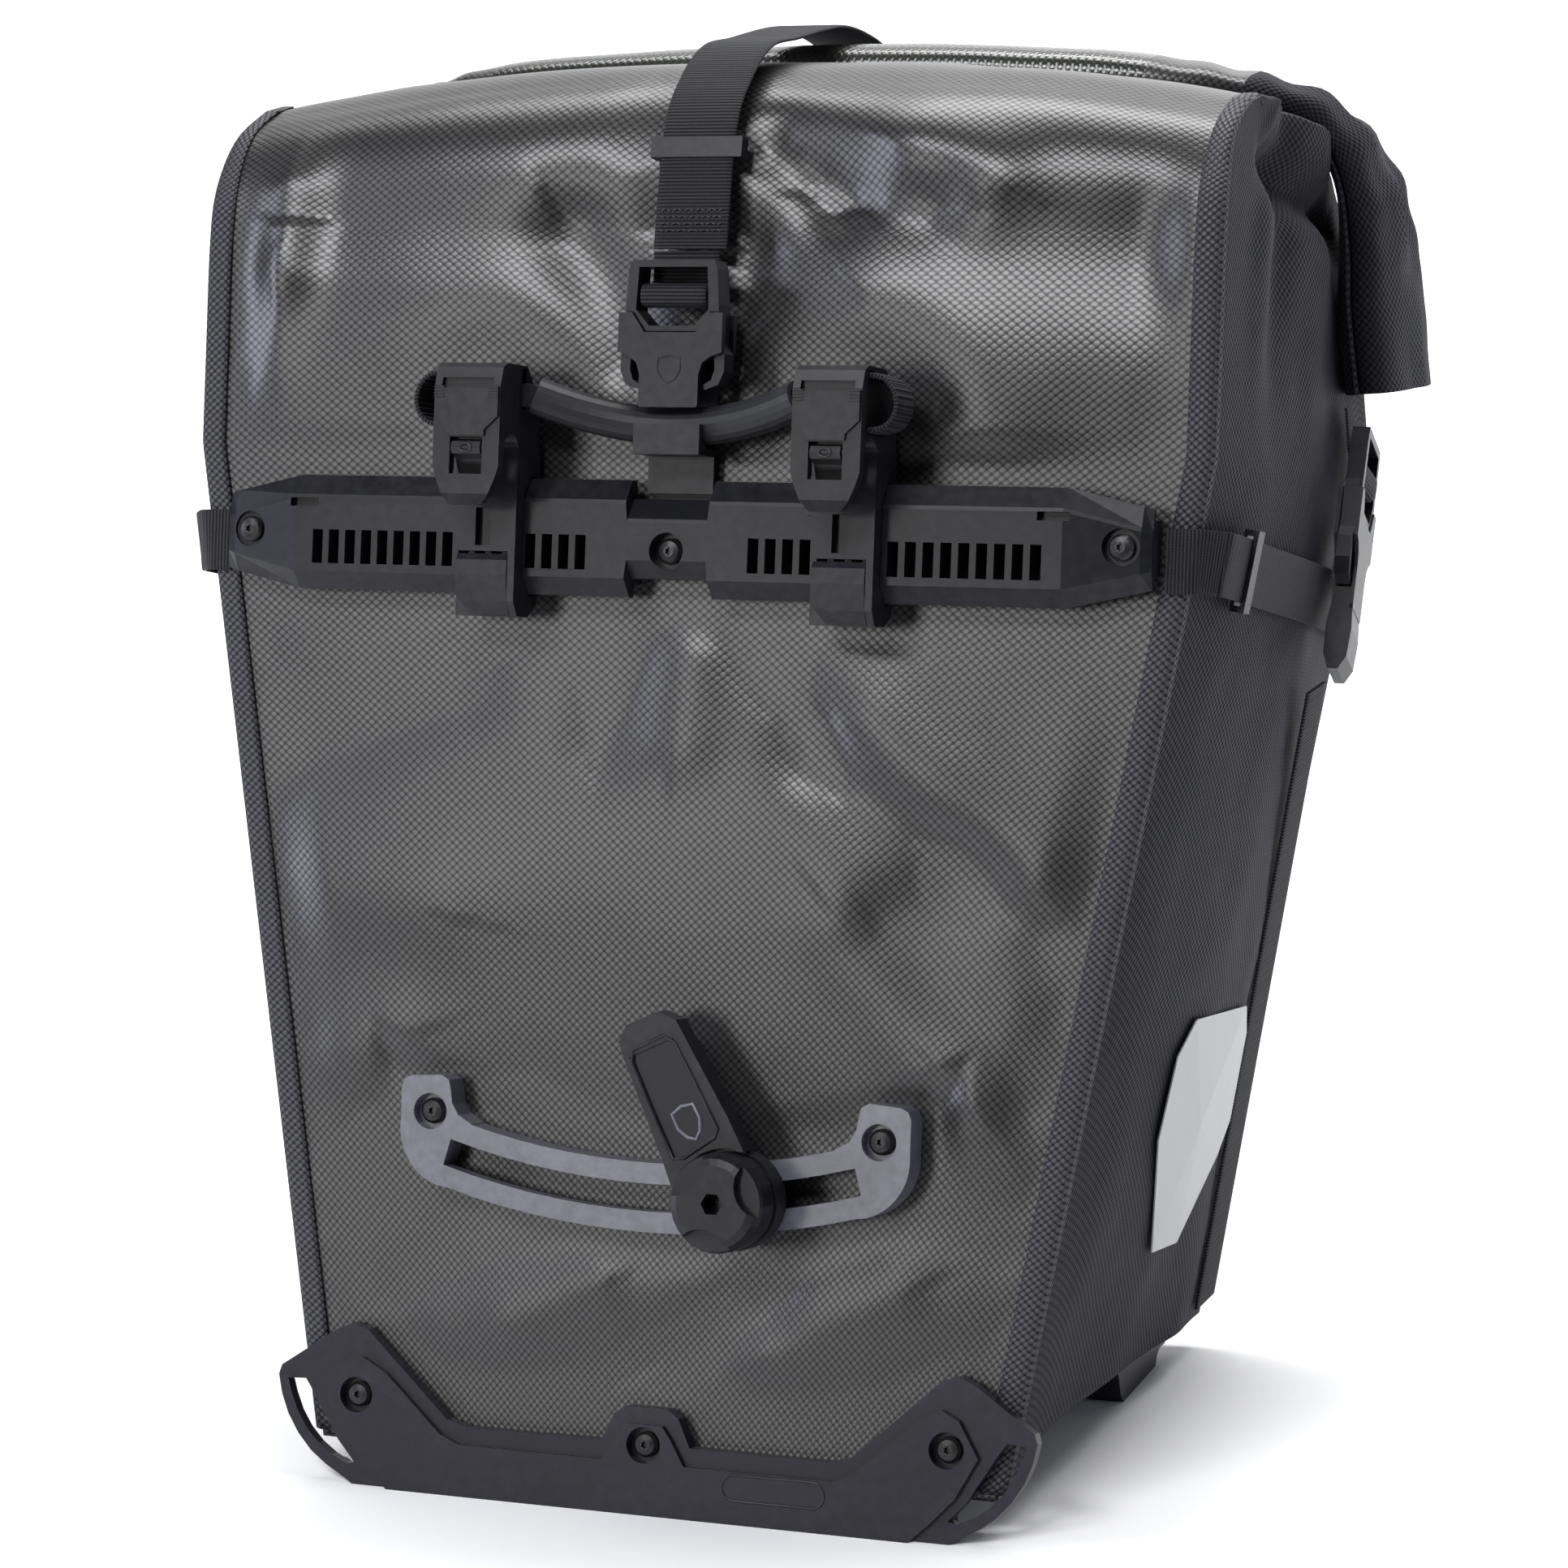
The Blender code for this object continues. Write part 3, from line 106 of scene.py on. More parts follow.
# ---------------------------------------------------------------- node materials
class Finish:
    """A Principled material under construction; node() links or sets a new node's sockets by name."""

    def __init__(self, name, colour, roughness, metallic=0.0, coords="Object"):
        self.material = bpy.data.materials.new(name)
        self.material.use_nodes = True
        self.tree = self.material.node_tree
        self.shader = self.tree.nodes["Principled BSDF"]
        self.shader.inputs["Base Color"].default_value = (*colour, 1)
        self.shader.inputs["Roughness"].default_value = roughness
        self.shader.inputs["Metallic"].default_value = metallic
        self.colour = colour
        self.normal = None
        if coords == "weave":
            source = self.node("ShaderNodeUVMap")
            source.uv_map = "weave"
            self.coords = source.outputs["UV"]
        else:
            self.coords = self.node("ShaderNodeTexCoord").outputs["Object"]

    def node(self, kind, **sockets):
        new = self.tree.nodes.new(kind)
        for name, value in sockets.items():
            self.put(new.inputs[name.replace("_", " ")], value)
        return new

    def put(self, socket, value):
        if isinstance(value, bpy.types.NodeSocket):
            self.tree.links.new(value, socket)
        else:
            socket.default_value = value

    def math(self, operation, a, b=0.0, c=0.0, clamp=False):
        new = self.node("ShaderNodeMath")
        new.operation = operation
        new.use_clamp = clamp
        for socket, value in zip(new.inputs, (a, b, c)):
            self.put(socket, value)
        return new.outputs[0]

    def split(self):
        return self.node("ShaderNodeSeparateXYZ", Vector=self.coords).outputs

    def noise(self, scale, detail=3.0):
        return self.node("ShaderNodeTexNoise", Vector=self.coords, Scale=scale, Detail=detail).outputs["Fac"]

    def ramp(self, value, low, high):
        """The value stretched so that low..high becomes 0..1."""
        new = self.node("ShaderNodeMapRange", Value=value, From_Min=low, From_Max=high)
        return new.outputs["Result"]

    def mix(self, factor, a, b):
        new = self.node("ShaderNodeMix")
        new.data_type = "RGBA"
        self.put(new.inputs[0], factor)
        for socket, value in ((new.inputs[6], a), (new.inputs[7], b)):
            self.put(socket, value if isinstance(value, bpy.types.NodeSocket) else (*value, 1))
        return new.outputs[2]

    def tone(self, factor, darker, lighter):
        """Colour from `darker` to `lighter` times the base by a 0..1 factor."""
        mixed = self.mix(factor, [c * darker for c in self.colour], [c * lighter for c in self.colour])
        self.put(self.shader.inputs["Base Color"], mixed)
        return mixed

    def rough(self, factor, low, high):
        value = self.math("MULTIPLY_ADD", factor, high - low, low)
        self.put(self.shader.inputs["Roughness"], value)

    def gloss(self, factor, low, high):
        """Mirror strength (Specular IOR Level) from low to high by a 0..1 factor."""
        value = self.math("MULTIPLY_ADD", factor, high - low, low, clamp=True)
        self.put(self.shader.inputs["Specular IOR Level"], value)

    def bump(self, height, distance, strength=1.0):
        """Adds relief of `distance` metres on top of what is there."""
        new = self.node("ShaderNodeBump", Height=height, Distance=distance, Strength=strength)
        if self.normal:
            self.put(new.inputs["Normal"], self.normal)
        self.normal = new.outputs["Normal"]
        self.put(self.shader.inputs["Normal"], self.normal)

    def sheen(self, weight, roughness, tint):
        self.shader.inputs["Sheen Weight"].default_value = weight
        self.shader.inputs["Sheen Roughness"].default_value = roughness
        self.shader.inputs["Sheen Tint"].default_value = (*tint, 1)

    def coat(self, weight, roughness):
        self.shader.inputs["Coat Weight"].default_value = weight
        self.shader.inputs["Coat Roughness"].default_value = roughness

    def lattice(self, pitch_u, pitch_v):
        """0..1 height of round dimples on a staggered lattice with the given pitches in metres."""
        u, v = self.split()[:2]
        a = self.math("MULTIPLY", u, 1 / pitch_u)
        b = self.math("MULTIPLY", v, 1 / pitch_v)
        cell = self.node("ShaderNodeCombineXYZ", X=self.math("ADD", a, b), Y=self.math("SUBTRACT", a, b))
        dots = self.node("ShaderNodeTexVoronoi", Vector=cell.outputs[0], Scale=1.0, Randomness=0.0)
        dots.voronoi_dimensions = "2D"
        return self.ramp(dots.outputs["Distance"], 0.66, 0.24)

    def waves(self, axis, pitch, offset=0.0):
        """0..1 sine along u (0) or v (1) with the given pitch in metres."""
        angle = self.math("MULTIPLY_ADD", self.split()[axis], 2 * math.pi / pitch, offset)
        return self.math("MULTIPLY_ADD", self.math("SINE", angle), 0.5, 0.5)

    def basket(self, pitch):
        """Plain weave: warp and weft crests taking turns."""
        u, v = self.waves(0, pitch), self.waves(1, pitch)
        return self.math("ADD", self.math("MULTIPLY", u, v),
                         self.math("MULTIPLY", self.math("SUBTRACT", 1.0, u), self.math("SUBTRACT", 1.0, v)))


def coated_fabric():
    made = Finish("coated_fabric", (0.0090, 0.0086, 0.0088), 0.40, coords="weave")
    dimples = made.lattice(0.0031, 0.0026)
    cloud = made.noise(9, 4)
    shade = made.math("MULTIPLY_ADD", dimples, 0.75, made.math("MULTIPLY", cloud, 0.25))
    made.tone(shade, 0.35, 2.6)
    made.gloss(dimples, 0.18, 0.8)
    made.rough(made.math("MULTIPLY_ADD", cloud, 0.55, made.math("MULTIPLY", dimples, 0.45)), 0.31, 0.40)
    made.bump(dimples, 0.00010, 0.7)
    made.bump(made.noise(900, 2), 0.00001, 0.5)
    made.coat(0.10, 0.3)
    return made.material


def woven_fabric():
    made = Finish("woven_fabric", (0.0070, 0.0070, 0.0108), 0.82, coords="weave")
    weave = made.basket(0.0025)
    slub = made.noise(330, 3)
    cloud = made.noise(11, 3)
    made.tone(made.math("MULTIPLY_ADD", weave, 0.7, made.math("MULTIPLY", slub, 0.3)), 0.25, 2.1)
    made.gloss(weave, 0.05, 0.38)
    made.rough(cloud, 0.62, 0.8)
    made.bump(weave, 0.00034, 0.9)
    made.bump(slub, 0.00006, 0.5)
    made.sheen(0.03, 0.45, (0.78, 0.81, 1.0))
    return made.material


def taped_fabric():
    """The coarser overlap strips at the corners."""
    made = Finish("taped_fabric", (0.0080, 0.0080, 0.0105), 0.66, coords="weave")
    dots = made.lattice(0.0028, 0.0022)
    made.tone(made.math("MULTIPLY_ADD", dots, 0.8, made.math("MULTIPLY", made.noise(20, 3), 0.2)), 0.3, 2.8)
    made.gloss(dots, 0.1, 0.7)
    made.rough(dots, 0.66, 0.54)
    made.bump(dots, 0.00034, 0.9)
    made.bump(made.noise(1200, 2), 0.00004, 0.5)
    return made.material


def rolled_fabric():
    made = Finish("rolled_fabric", (0.016, 0.018, 0.014), 0.26, coords="weave")
    dimples = made.lattice(0.0044, 0.0026)
    cloud = made.noise(14, 3)
    made.tone(made.math("MULTIPLY_ADD", dimples, -0.75, 1.0), 0.35, 1.6)
    made.rough(cloud, 0.2, 0.34)
    made.bump(dimples, 0.00018, 0.8)
    made.coat(0.25, 0.18)
    return made.material


def webbing():
    made = Finish("webbing", (0.0065, 0.0065, 0.0078), 0.82, coords="weave")
    ribs = made.waves(1, 0.0011)
    yarn = made.waves(0, 0.0009)
    fuzz = made.noise(1500, 2)
    grain = made.math("MULTIPLY_ADD", ribs, 0.4, made.math("MULTIPLY", yarn, 0.25))
    made.tone(made.math("MULTIPLY_ADD", fuzz, 0.35, grain), 0.3, 2.1)
    made.gloss(ribs, 0.1, 0.5)
    made.rough(fuzz, 0.66, 0.85)
    made.bump(ribs, 0.00016, 0.8)
    made.bump(yarn, 0.00008, 0.6)
    made.sheen(0.05, 0.4, (0.9, 0.92, 1.0))
    return made.material


def stitch_thread():
    made = Finish("stitch_thread", (0.016, 0.016, 0.018), 0.6)
    twist = made.noise(2600, 2)
    made.tone(twist, 0.6, 1.9)
    made.rough(twist, 0.5, 0.7)
    made.bump(twist, 0.00005, 0.7)
    return made.material


def moulded(name, colour, roughness, grain=0.00004, grain_scale=2600, wear_and_highlight=1.5, mirror=0.28):
    """Moulded plastic: spark-eroded grain, faint flow clouds, lighter edges that are partly rubbed wear and
    partly painted highlight.
    """
    made = Finish(name, colour, roughness)
    cloud = made.noise(22, 3)
    speck = made.noise(grain_scale, 2)
    # convex edges lightened under a noisy mask: partly rubbed wear, partly painted highlight along the edges
    edge = made.ramp(made.node("ShaderNodeNewGeometry").outputs["Pointiness"], 0.505, 0.57)
    base = made.tone(made.math("MULTIPLY_ADD", speck, 0.7, made.math("MULTIPLY", cloud, 0.3)), 0.8, 1.2)
    wear_and_edge_highlight = made.math("MULTIPLY", edge, made.ramp(made.noise(300, 3), 0.3, 0.75), clamp=True)
    made.put(made.shader.inputs["Base Color"], made.mix(wear_and_edge_highlight, base, [c * wear_and_highlight + 0.002 for c in colour]))
    made.shader.inputs["Specular IOR Level"].default_value = mirror
    made.rough(cloud, roughness - 0.04, roughness + 0.05)
    made.bump(speck, grain, 0.6)
    return made.material


def coated_steel():
    made = Finish("black_steel", (0.014, 0.014, 0.015), 0.35, metallic=0.5)
    speck = made.noise(1800, 2)
    made.tone(speck, 0.6, 1.8)
    made.rough(made.noise(400, 3), 0.25, 0.42)
    made.bump(speck, 0.00002, 0.5)
    return made.material


def reflective_film():
    made = Finish("reflective", (0.27, 0.28, 0.29), 0.36, coords="weave")
    cells = made.lattice(0.0040, 0.0023)
    made.tone(made.math("MULTIPLY_ADD", cells, 0.3, made.math("MULTIPLY", made.noise(30, 3), 0.7)), 0.86, 1.1)
    made.rough(made.noise(60, 2), 0.26, 0.4)
    made.bump(cells, 0.00005, 0.5)
    made.coat(0.3, 0.2)
    return made.material


def stage_floor():
    made = Finish("floor", (0.88, 0.88, 0.88), 0.8)
    made.tone(made.noise(3, 3), 0.985, 1.015)
    return made.material


MATERIALS = {
    "coated_fabric": coated_fabric(),
    "woven_fabric": woven_fabric(),
    "rolled_fabric": rolled_fabric(),
    "webbing": webbing(),
    "taped_fabric": taped_fabric(),
    "stitch_thread": stitch_thread(),
    # the lighter edges set here are partly rubbed wear and partly painted edge highlight
    "hard_plastic": moulded("hard_plastic", (0.0065, 0.0067, 0.0085), 0.35, wear_and_highlight=2.2, mirror=0.22),
    "grey_plastic": moulded("grey_plastic", (0.070, 0.071, 0.088), 0.30, mirror=0.6),
    "guard_plastic": moulded("guard_plastic", (0.0085, 0.0080, 0.0135), 0.30, grain=0.00003, grain_scale=1400,
                             wear_and_highlight=1.8),
    "rubber": moulded("rubber", (0.0110, 0.0112, 0.0130), 0.48, grain=0.00002),
    "liner_board": moulded("liner_board", (0.05, 0.05, 0.05), 0.6),
    "black_steel": coated_steel(),
    "reflective": reflective_film(),
}


# ---------------------------------------------------------------- mesh helpers
INSIDE = (0, 85, 240)


def surface(name, rows, finish, body="bag", thickness=0.0, closed_rows=False, caps=False, splits=None,
            ride=True):
    """A quad skin over rows of bag-frame points, with a "weave" UV map measured in metres.

    closed_rows joins each row's end to its start; caps fills the first and last row;
    splits(row, column) gives the material index of a quad.
    """
    bm = bmesh.new()
    layer = bm.loops.layers.uv.new("weave")
    count, width = len(rows), len(rows[0])
    grid = [[bm.verts.new(at(p)) for p in row] for row in rows]
    middle = rows[count // 2]
    across = [0.0]
    for i in range(1, width + 1):
        step = (Vector(middle[i % width]) - Vector(middle[i - 1])).length
        across.append(across[-1] + (step if i < width or closed_rows else 0))
    column = width // 2
    along = [0.0]
    for r in range(1, count):
        along.append(along[-1] + (Vector(rows[r][column]) - Vector(rows[r - 1][column])).length)
    for r in range(count - 1):
        for c in range(width if closed_rows else width - 1):
            d = (c + 1) % width
            face = bm.faces.new((grid[r][c], grid[r][d], grid[r + 1][d], grid[r + 1][c]))
            for loop, (i, j) in zip(face.loops, ((c, r), (c + 1, r), (c + 1, r + 1), (c, r + 1))):
                loop[layer].uv = (across[i] * MM, along[j] * MM)
            if splits:
                face.material_index = splits(r, c)
    if caps:
        for ring in (grid[0], grid[-1]):
            bm.faces.new(ring)
        bmesh.ops.recalc_face_normals(bm, faces=bm.faces)
    else:
        centre = at(INSIDE)
        bm.normal_update()
        facing = sum((f.calc_center_median() - centre).dot(f.normal) * f.calc_area() for f in bm.faces)
        if facing < 0:
            bmesh.ops.reverse_faces(bm, faces=bm.faces)
    return finished(name, bm, finish, body, thickness, ride)


def finished(name, bm, finish, body="bag", thickness=0.0, ride=True, sharp=40):
    mesh = bpy.data.meshes.new(name)
    bm.to_mesh(mesh)
    bm.free()
    names = [finish] if isinstance(finish, str) else finish
    for each in names:
        mesh.materials.append(MATERIALS[each])
    mesh.shade_smooth()
    mesh.set_sharp_from_angle(angle=math.radians(sharp))
    obj = bpy.data.objects.new(name, mesh)
    bpy.context.scene.collection.objects.link(obj)
    if thickness:
        solid = obj.modifiers.new("thickness", "SOLIDIFY")
        solid.thickness = thickness * MM
        solid.offset = -1
    if ride:
        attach(obj, body)
    return obj


def spline(points, step):
    """Points every `step` mm along a smooth curve through the given ones (any dimension)."""
    points = [Vector(p) for p in points]
    ends = [points[0] * 2 - points[1]] + points + [points[-1] * 2 - points[-2]]
    dense = []
    for a, b, c, d in zip(ends, ends[1:], ends[2:], ends[3:]):
        pieces = max(2, int((c - b).length / step * 3))
        for i in range(pieces):
            t = i / pieces
            dense.append(0.5 * (b * 2 + (c - a) * t + (a * 2 - b * 5 + c * 4 - d) * t * t
                                + (b * 3 - a - c * 3 + d) * t ** 3))
    dense.append(points[-1])
    length = [0.0]
    for a, b in zip(dense, dense[1:]):
        length.append(length[-1] + (b - a).length)
    count = max(2, round(length[-1] / step))
    result, k = [], 0
    for i in range(count + 1):
        target = length[-1] * i / count
        while k < len(dense) - 2 and length[k + 1] < target:
            k += 1
        share = (target - length[k]) / max(1e-9, length[k + 1] - length[k])
        result.append(dense[k].lerp(dense[k + 1], share))
    return result


RIBBON_OUTLINE = ((-1, -0.35), (-0.96, -0.85), (-0.8, -1), (-0.4, -1), (0, -1), (0.4, -1), (0.8, -1),
                  (0.96, -0.85), (1, -0.35), (1, 0.35), (0.96, 0.85), (0.8, 1), (0.4, 1), (0, 1),
                  (-0.4, 1), (-0.8, 1), (-0.96, 0.85), (-1, 0.35))


def ribbon(name, path, across, reach, thickness=1.3, body="bag", rib=0.03, pitch=1.8, step=0.45, ride=True):
    """Webbing along a path of bag-frame points, `reach` to each side of it.

    `across` is its width direction, or a function giving one for each point; `rib` and `pitch`
    are the height and spacing of its cross ribs.
    """
    centre = spline(path, step)
    rows = []
    for i, point in enumerate(centre):
        ahead = (centre[min(i + 1, len(centre) - 1)] - centre[max(i - 1, 0)]).normalized()
        side = (across(point) if callable(across) else Vector(across)).normalized()
        out = ahead.cross(side).normalized()
        side = out.cross(ahead).normalized()
        swell = rib * math.cos(2 * math.pi * i * step / pitch)
        ring = []
        for u, v in RIBBON_OUTLINE:
            lift = (thickness / 2 + swell * (1 if abs(u) < 0.9 else 0.4)) * v
            ring.append(tuple(point + side * (reach * u) + out * lift))
        rows.append(ring)
    return surface(name, rows, "webbing", body, closed_rows=True, caps=True, ride=ride)


# ---------------------------------------------------------------- the bag's fabric
def line_distance(x, z, start, end):
    """(distance to a segment, signed side) of a point on the rear face."""
    a, b, p = Vector(start), Vector(end), Vector((x, z))
    along = b - a
    t = min(1.0, max(0.0, (p - a).dot(along) / along.length_squared))
    away = p - (a + along * t)
    return away.length, (1 if along.cross(away) > 0 else -1)


# creases of the rear face: start, end, half width, height (outward +), each softened by the two factors
CREASE_SPREAD, CREASE_GAIN = 1.6, 1.3
CREASES = [
    ((21, 414), (44, 400), 7, -3.2), ((44, 400), (74, 396), 8, -2.6), ((70, 412), (92, 404), 9, 2.4),
    ((18, 388), (150, 382), 16, -5.4), ((-120, 392), (-20, 384), 14, -4.4),
    ((-142, 404), (-142, 378), 7, 2.2),
    ((-142, 378), (-147, 352), 8, 1.5), ((-44, 388), (-22, 352), 9, -3.2), ((14, 378), (16, 330), 8, -2.4),
    ((60, 365), (92, 330), 14, 1.8), ((2, 270), (0, 236), 8, 1.5), ((-22, 272), (-27, 232), 8, -1.2),
    ((16, 276), (45, 231), 8, -1.5), ((45, 231), (93, 195), 9, -1.9), ((93, 195), (136, 169), 10, -1.8),
    ((60, 236), (112, 196), 11, 1.8), ((-140, 221), (-76, 248), 10, -1.7), ((-133, 187), (-84, 179), 13, 1.3),
    ((57, 181), (96, 133), 11, 1.6), ((96, 133), (124, 105), 10, 1.5), ((70, 178), (112, 128), 8, -1.5),
    ((-90, 58), (-53, 88), 8, -1.4), ((-47, 52), (-20, 66), 7, 1.3), ((4, 44), (36, 62), 8, -1.5),
    ((40, 50), (78, 70), 8, 1.3), ((-125, 123), (-94, 136), 10, 1.3),
]


def hardware_room(x, z):
    """How far the rear fabric may stand out here before it meets what is mounted on it."""
    def clear(distance):
        return smooth(0, 14, distance)

    rail = clear(max(abs(x) - 156, abs(z - RAIL_Z) - 22))
    radius = math.hypot(x, z - ARC_CENTRE_Z)
    arc = clear(max(abs(radius - ARC_RADIUS) - 14, abs(x) - 88))
    guard = clear(max(z - 34 - 17 * smooth(62, 96, abs(x)), -1))
    strap = smooth(-2, 26, abs(x) - 13) if z > 315 else 1.0
    middle = smooth(0, 36, math.hypot(max(0, abs(x) - 62), max(0, abs(z - 330) - 10)))
    return min(rail, arc, guard, strap, 0.35 + 0.65 * middle)


def rear_relief(x, z):
    """Outward swell of the rear face: puffed top, pinch at the rail, creases."""
    share = min(1.0, abs(x) / 160)
    rise = min(1, max(0, (z - 316) / 122))
    swell = 7.5 * math.sin(math.pi * rise ** 1.5) * (1 - 0.7 * math.exp(-(x / 40) ** 2))
    swell += 2.6 * math.sin(math.pi * min(1, max(0, (z - 118) / 156)))
    swell += 0.9 * math.sin(math.pi * min(1, max(0, (z - 36) / 50)))
    swell *= 1 - share ** 4
    for start, end, width, height in CREASES:
        distance, side = line_distance(x, z, start, end)
        width *= CREASE_SPREAD
        if distance < width * 3:
            lean = 1 + 0.35 * side * distance / width
            swell += CREASE_GAIN * height * math.exp(-(distance / width) ** 2) * lean
    swell += 1.1 * ripple(x, 0, z, 74, 3.1) + 0.12 * ripple(x, 0, z, 22, 7.7)
    edge = smooth(0, 22, half_width(z) - 8 - abs(x))
    swell = swell * edge + 0.2 * ripple(x, 0, z, 12, 1.3) * (1 - edge)
    if swell > 0:
        return swell * hardware_room(x, z)
    return swell * (0.3 + 0.7 * smooth(318, 345, z)) if z < 345 else swell


REAR_PROFILE = [(0, 12), (0, 60), (0, 120), (0, 180), (0, 240), (0, 300), (0, 350), (0.3, 388), (4, 412),
                (13.5, 431.5), (30, 443.5), (50, 447.5), (70, 447.2), (88, 443.5), (108, 437)]


def rear_edge(z):
    """(half width, drop) of the rear face where its profile reaches z."""
    return half_width(z) - 2.8 - 0.12 * max(0, z - 400), 12 * min(1, max(0, z - 395) / 45)


REAR_EDGE = [Vector((y, z - rear_edge(z)[1])) for y, z in spline(REAR_PROFILE[:12], 1.5)]


def rear_skin():
    rows = []
    profile = spline(REAR_PROFILE, 1.9)
    for i, here in enumerate(profile):
        ahead = (profile[min(i + 1, len(profile) - 1)] - profile[max(i - 1, 0)]).normalized()
        out = Vector((-ahead.y, ahead.x))
        reach, drop = rear_edge(here.y)
        row = []
        for k in range(161):
            u = k / 80 - 1
            x, z = u * reach, here.y - drop * abs(u) ** 2.5
            over = smooth(26, 48, here.x)
            lift = (1 - over) * rear_relief(x, here.y) + over * 0.6 * ripple(x, here.x, z, 30)
            if here.x < 12:
                lift = max(lift, -7.0)
            row.append((x, here.x + out.x * lift, z + out.y * lift))
        rows.append(row)
    piece = surface("rear_skin", rows, "coated_fabric", thickness=FABRIC)
    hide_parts("rear_panel")


def street_taper(z):
    return 0.11 * max(0, z - 335) + 0.35 * max(0, z - 415)


def street_skin():
    rows = []
    outline = [(DEPTH, STREET_FOOT_Z), (DEPTH, 120), (DEPTH, 200), (DEPTH, 280), (DEPTH, 340), (DEPTH, 384),
               (DEPTH - 5, 405), (DEPTH - 14, 420), (DEPTH - 23, 430), (DEPTH - 36, 438), (118, 440)]
    profile = spline(outline, 3)
    for i, here in enumerate(profile):
        ahead = (profile[min(i + 1, len(profile) - 1)] - profile[max(i - 1, 0)]).normalized()
        out = Vector((ahead.y, -ahead.x))
        z = here.y
        reach = half_width(z) - 3.4 - street_taper(z)
        row = []
        for k in range(101):
            u = k / 50 - 1
            x = u * reach
            above = z - STREET_FOOT_Z
            edge = smooth(0, 25, reach - abs(x)) * smooth(0, 30, above)
            lift = 3.2 * edge * math.sin(math.pi * above / 400) + 0.9 * edge * ripple(x, 9, z, 60)
            lift += 1.6 * edge * math.exp(-((x + 40 - 0.3 * z) / 13) ** 2)
            lift -= 1.4 * edge * math.exp(-((x - 90 + 0.25 * z) / 12) ** 2)
            lift += 0.3 * ripple(x, 3, z, 18)
            if abs(x) < 24 and z > 320:
                lift = min(lift, 1.0)
            row.append((x, here.x + out.x * lift, z + out.y * lift))
        rows.append(row)
    piece = surface("street_skin", rows, "coated_fabric", thickness=FABRIC)
    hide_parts("front_panel")


def base_skin():
    rows = []
    for i in range(60):
        y = 2.2 + (DEPTH - 4.2) * i / 59
        z = bottom_edge(y)
        reach = half_width(z) - 2.0
        rows.append([(reach * (k / 30 - 1), y, z + 0.3 * ripple(k * 4, y, 0, 30)) for k in range(61)])
    piece = surface("base_skin", rows, "coated_fabric", thickness=FABRIC)
    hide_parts("bottom_panel")


GUSSET_PLAN = [(9.0, -0.9, 0), (6, -0.95, 0), (3.0, -0.9, 0), (1.4, -0.7, 0), (0.4, 0.4, 0), (0, 2.5, 0),
               (0, 12, 0.25), (0, 28, 0.55), (0, 55, 0.85), (0, 85, 1), (0, 115, 0.8), (0, 142, 0.4),
               (0, DEPTH - 5, 0.05), (0.2, DEPTH - 1.6, 0), (1.2, DEPTH + 0.3, 0), (3.0, DEPTH + 0.85, 0),
               (6, DEPTH + 0.9, 0), (9.0, DEPTH + 0.9, 0)]


def bulge(z):
    return 10 * math.sin(math.pi * min(max(z - 30, 0), 330) / 330)


def shoulder(z):
    """Depth (y) of the rear face's edge at height z, and the way into the bag there (y, z)."""
    before, here = REAR_EDGE[0], REAR_EDGE[1]
    for here in REAR_EDGE[1:]:
        if here.y >= z:
            break
        before = here
    share = min(1.0, max(0.0, (z - before.y) / max(1e-6, here.y - before.y)))
    along = (here - before).normalized()
    return before.x + (here.x - before.x) * share, Vector((along.y, -along.x))


def on_knots(knots, value):
    """Smooth curve through (input, output) knots."""
    if value <= knots[0][0]:
        return knots[0][1]
    for (a, low), (b, high) in zip(knots, knots[1:]):
        if value <= b:
            return low + (high - low) * smooth(a, b, value)
    return knots[-1][1]


# height of the side wall's top fold by depth y
RIDGE = [(0, 434), (55, 434), (80, 433.5), (100, 432), (120, 430), (136, 427), (147, 422), (156, 414),
         (166, 401), (170, 393)]


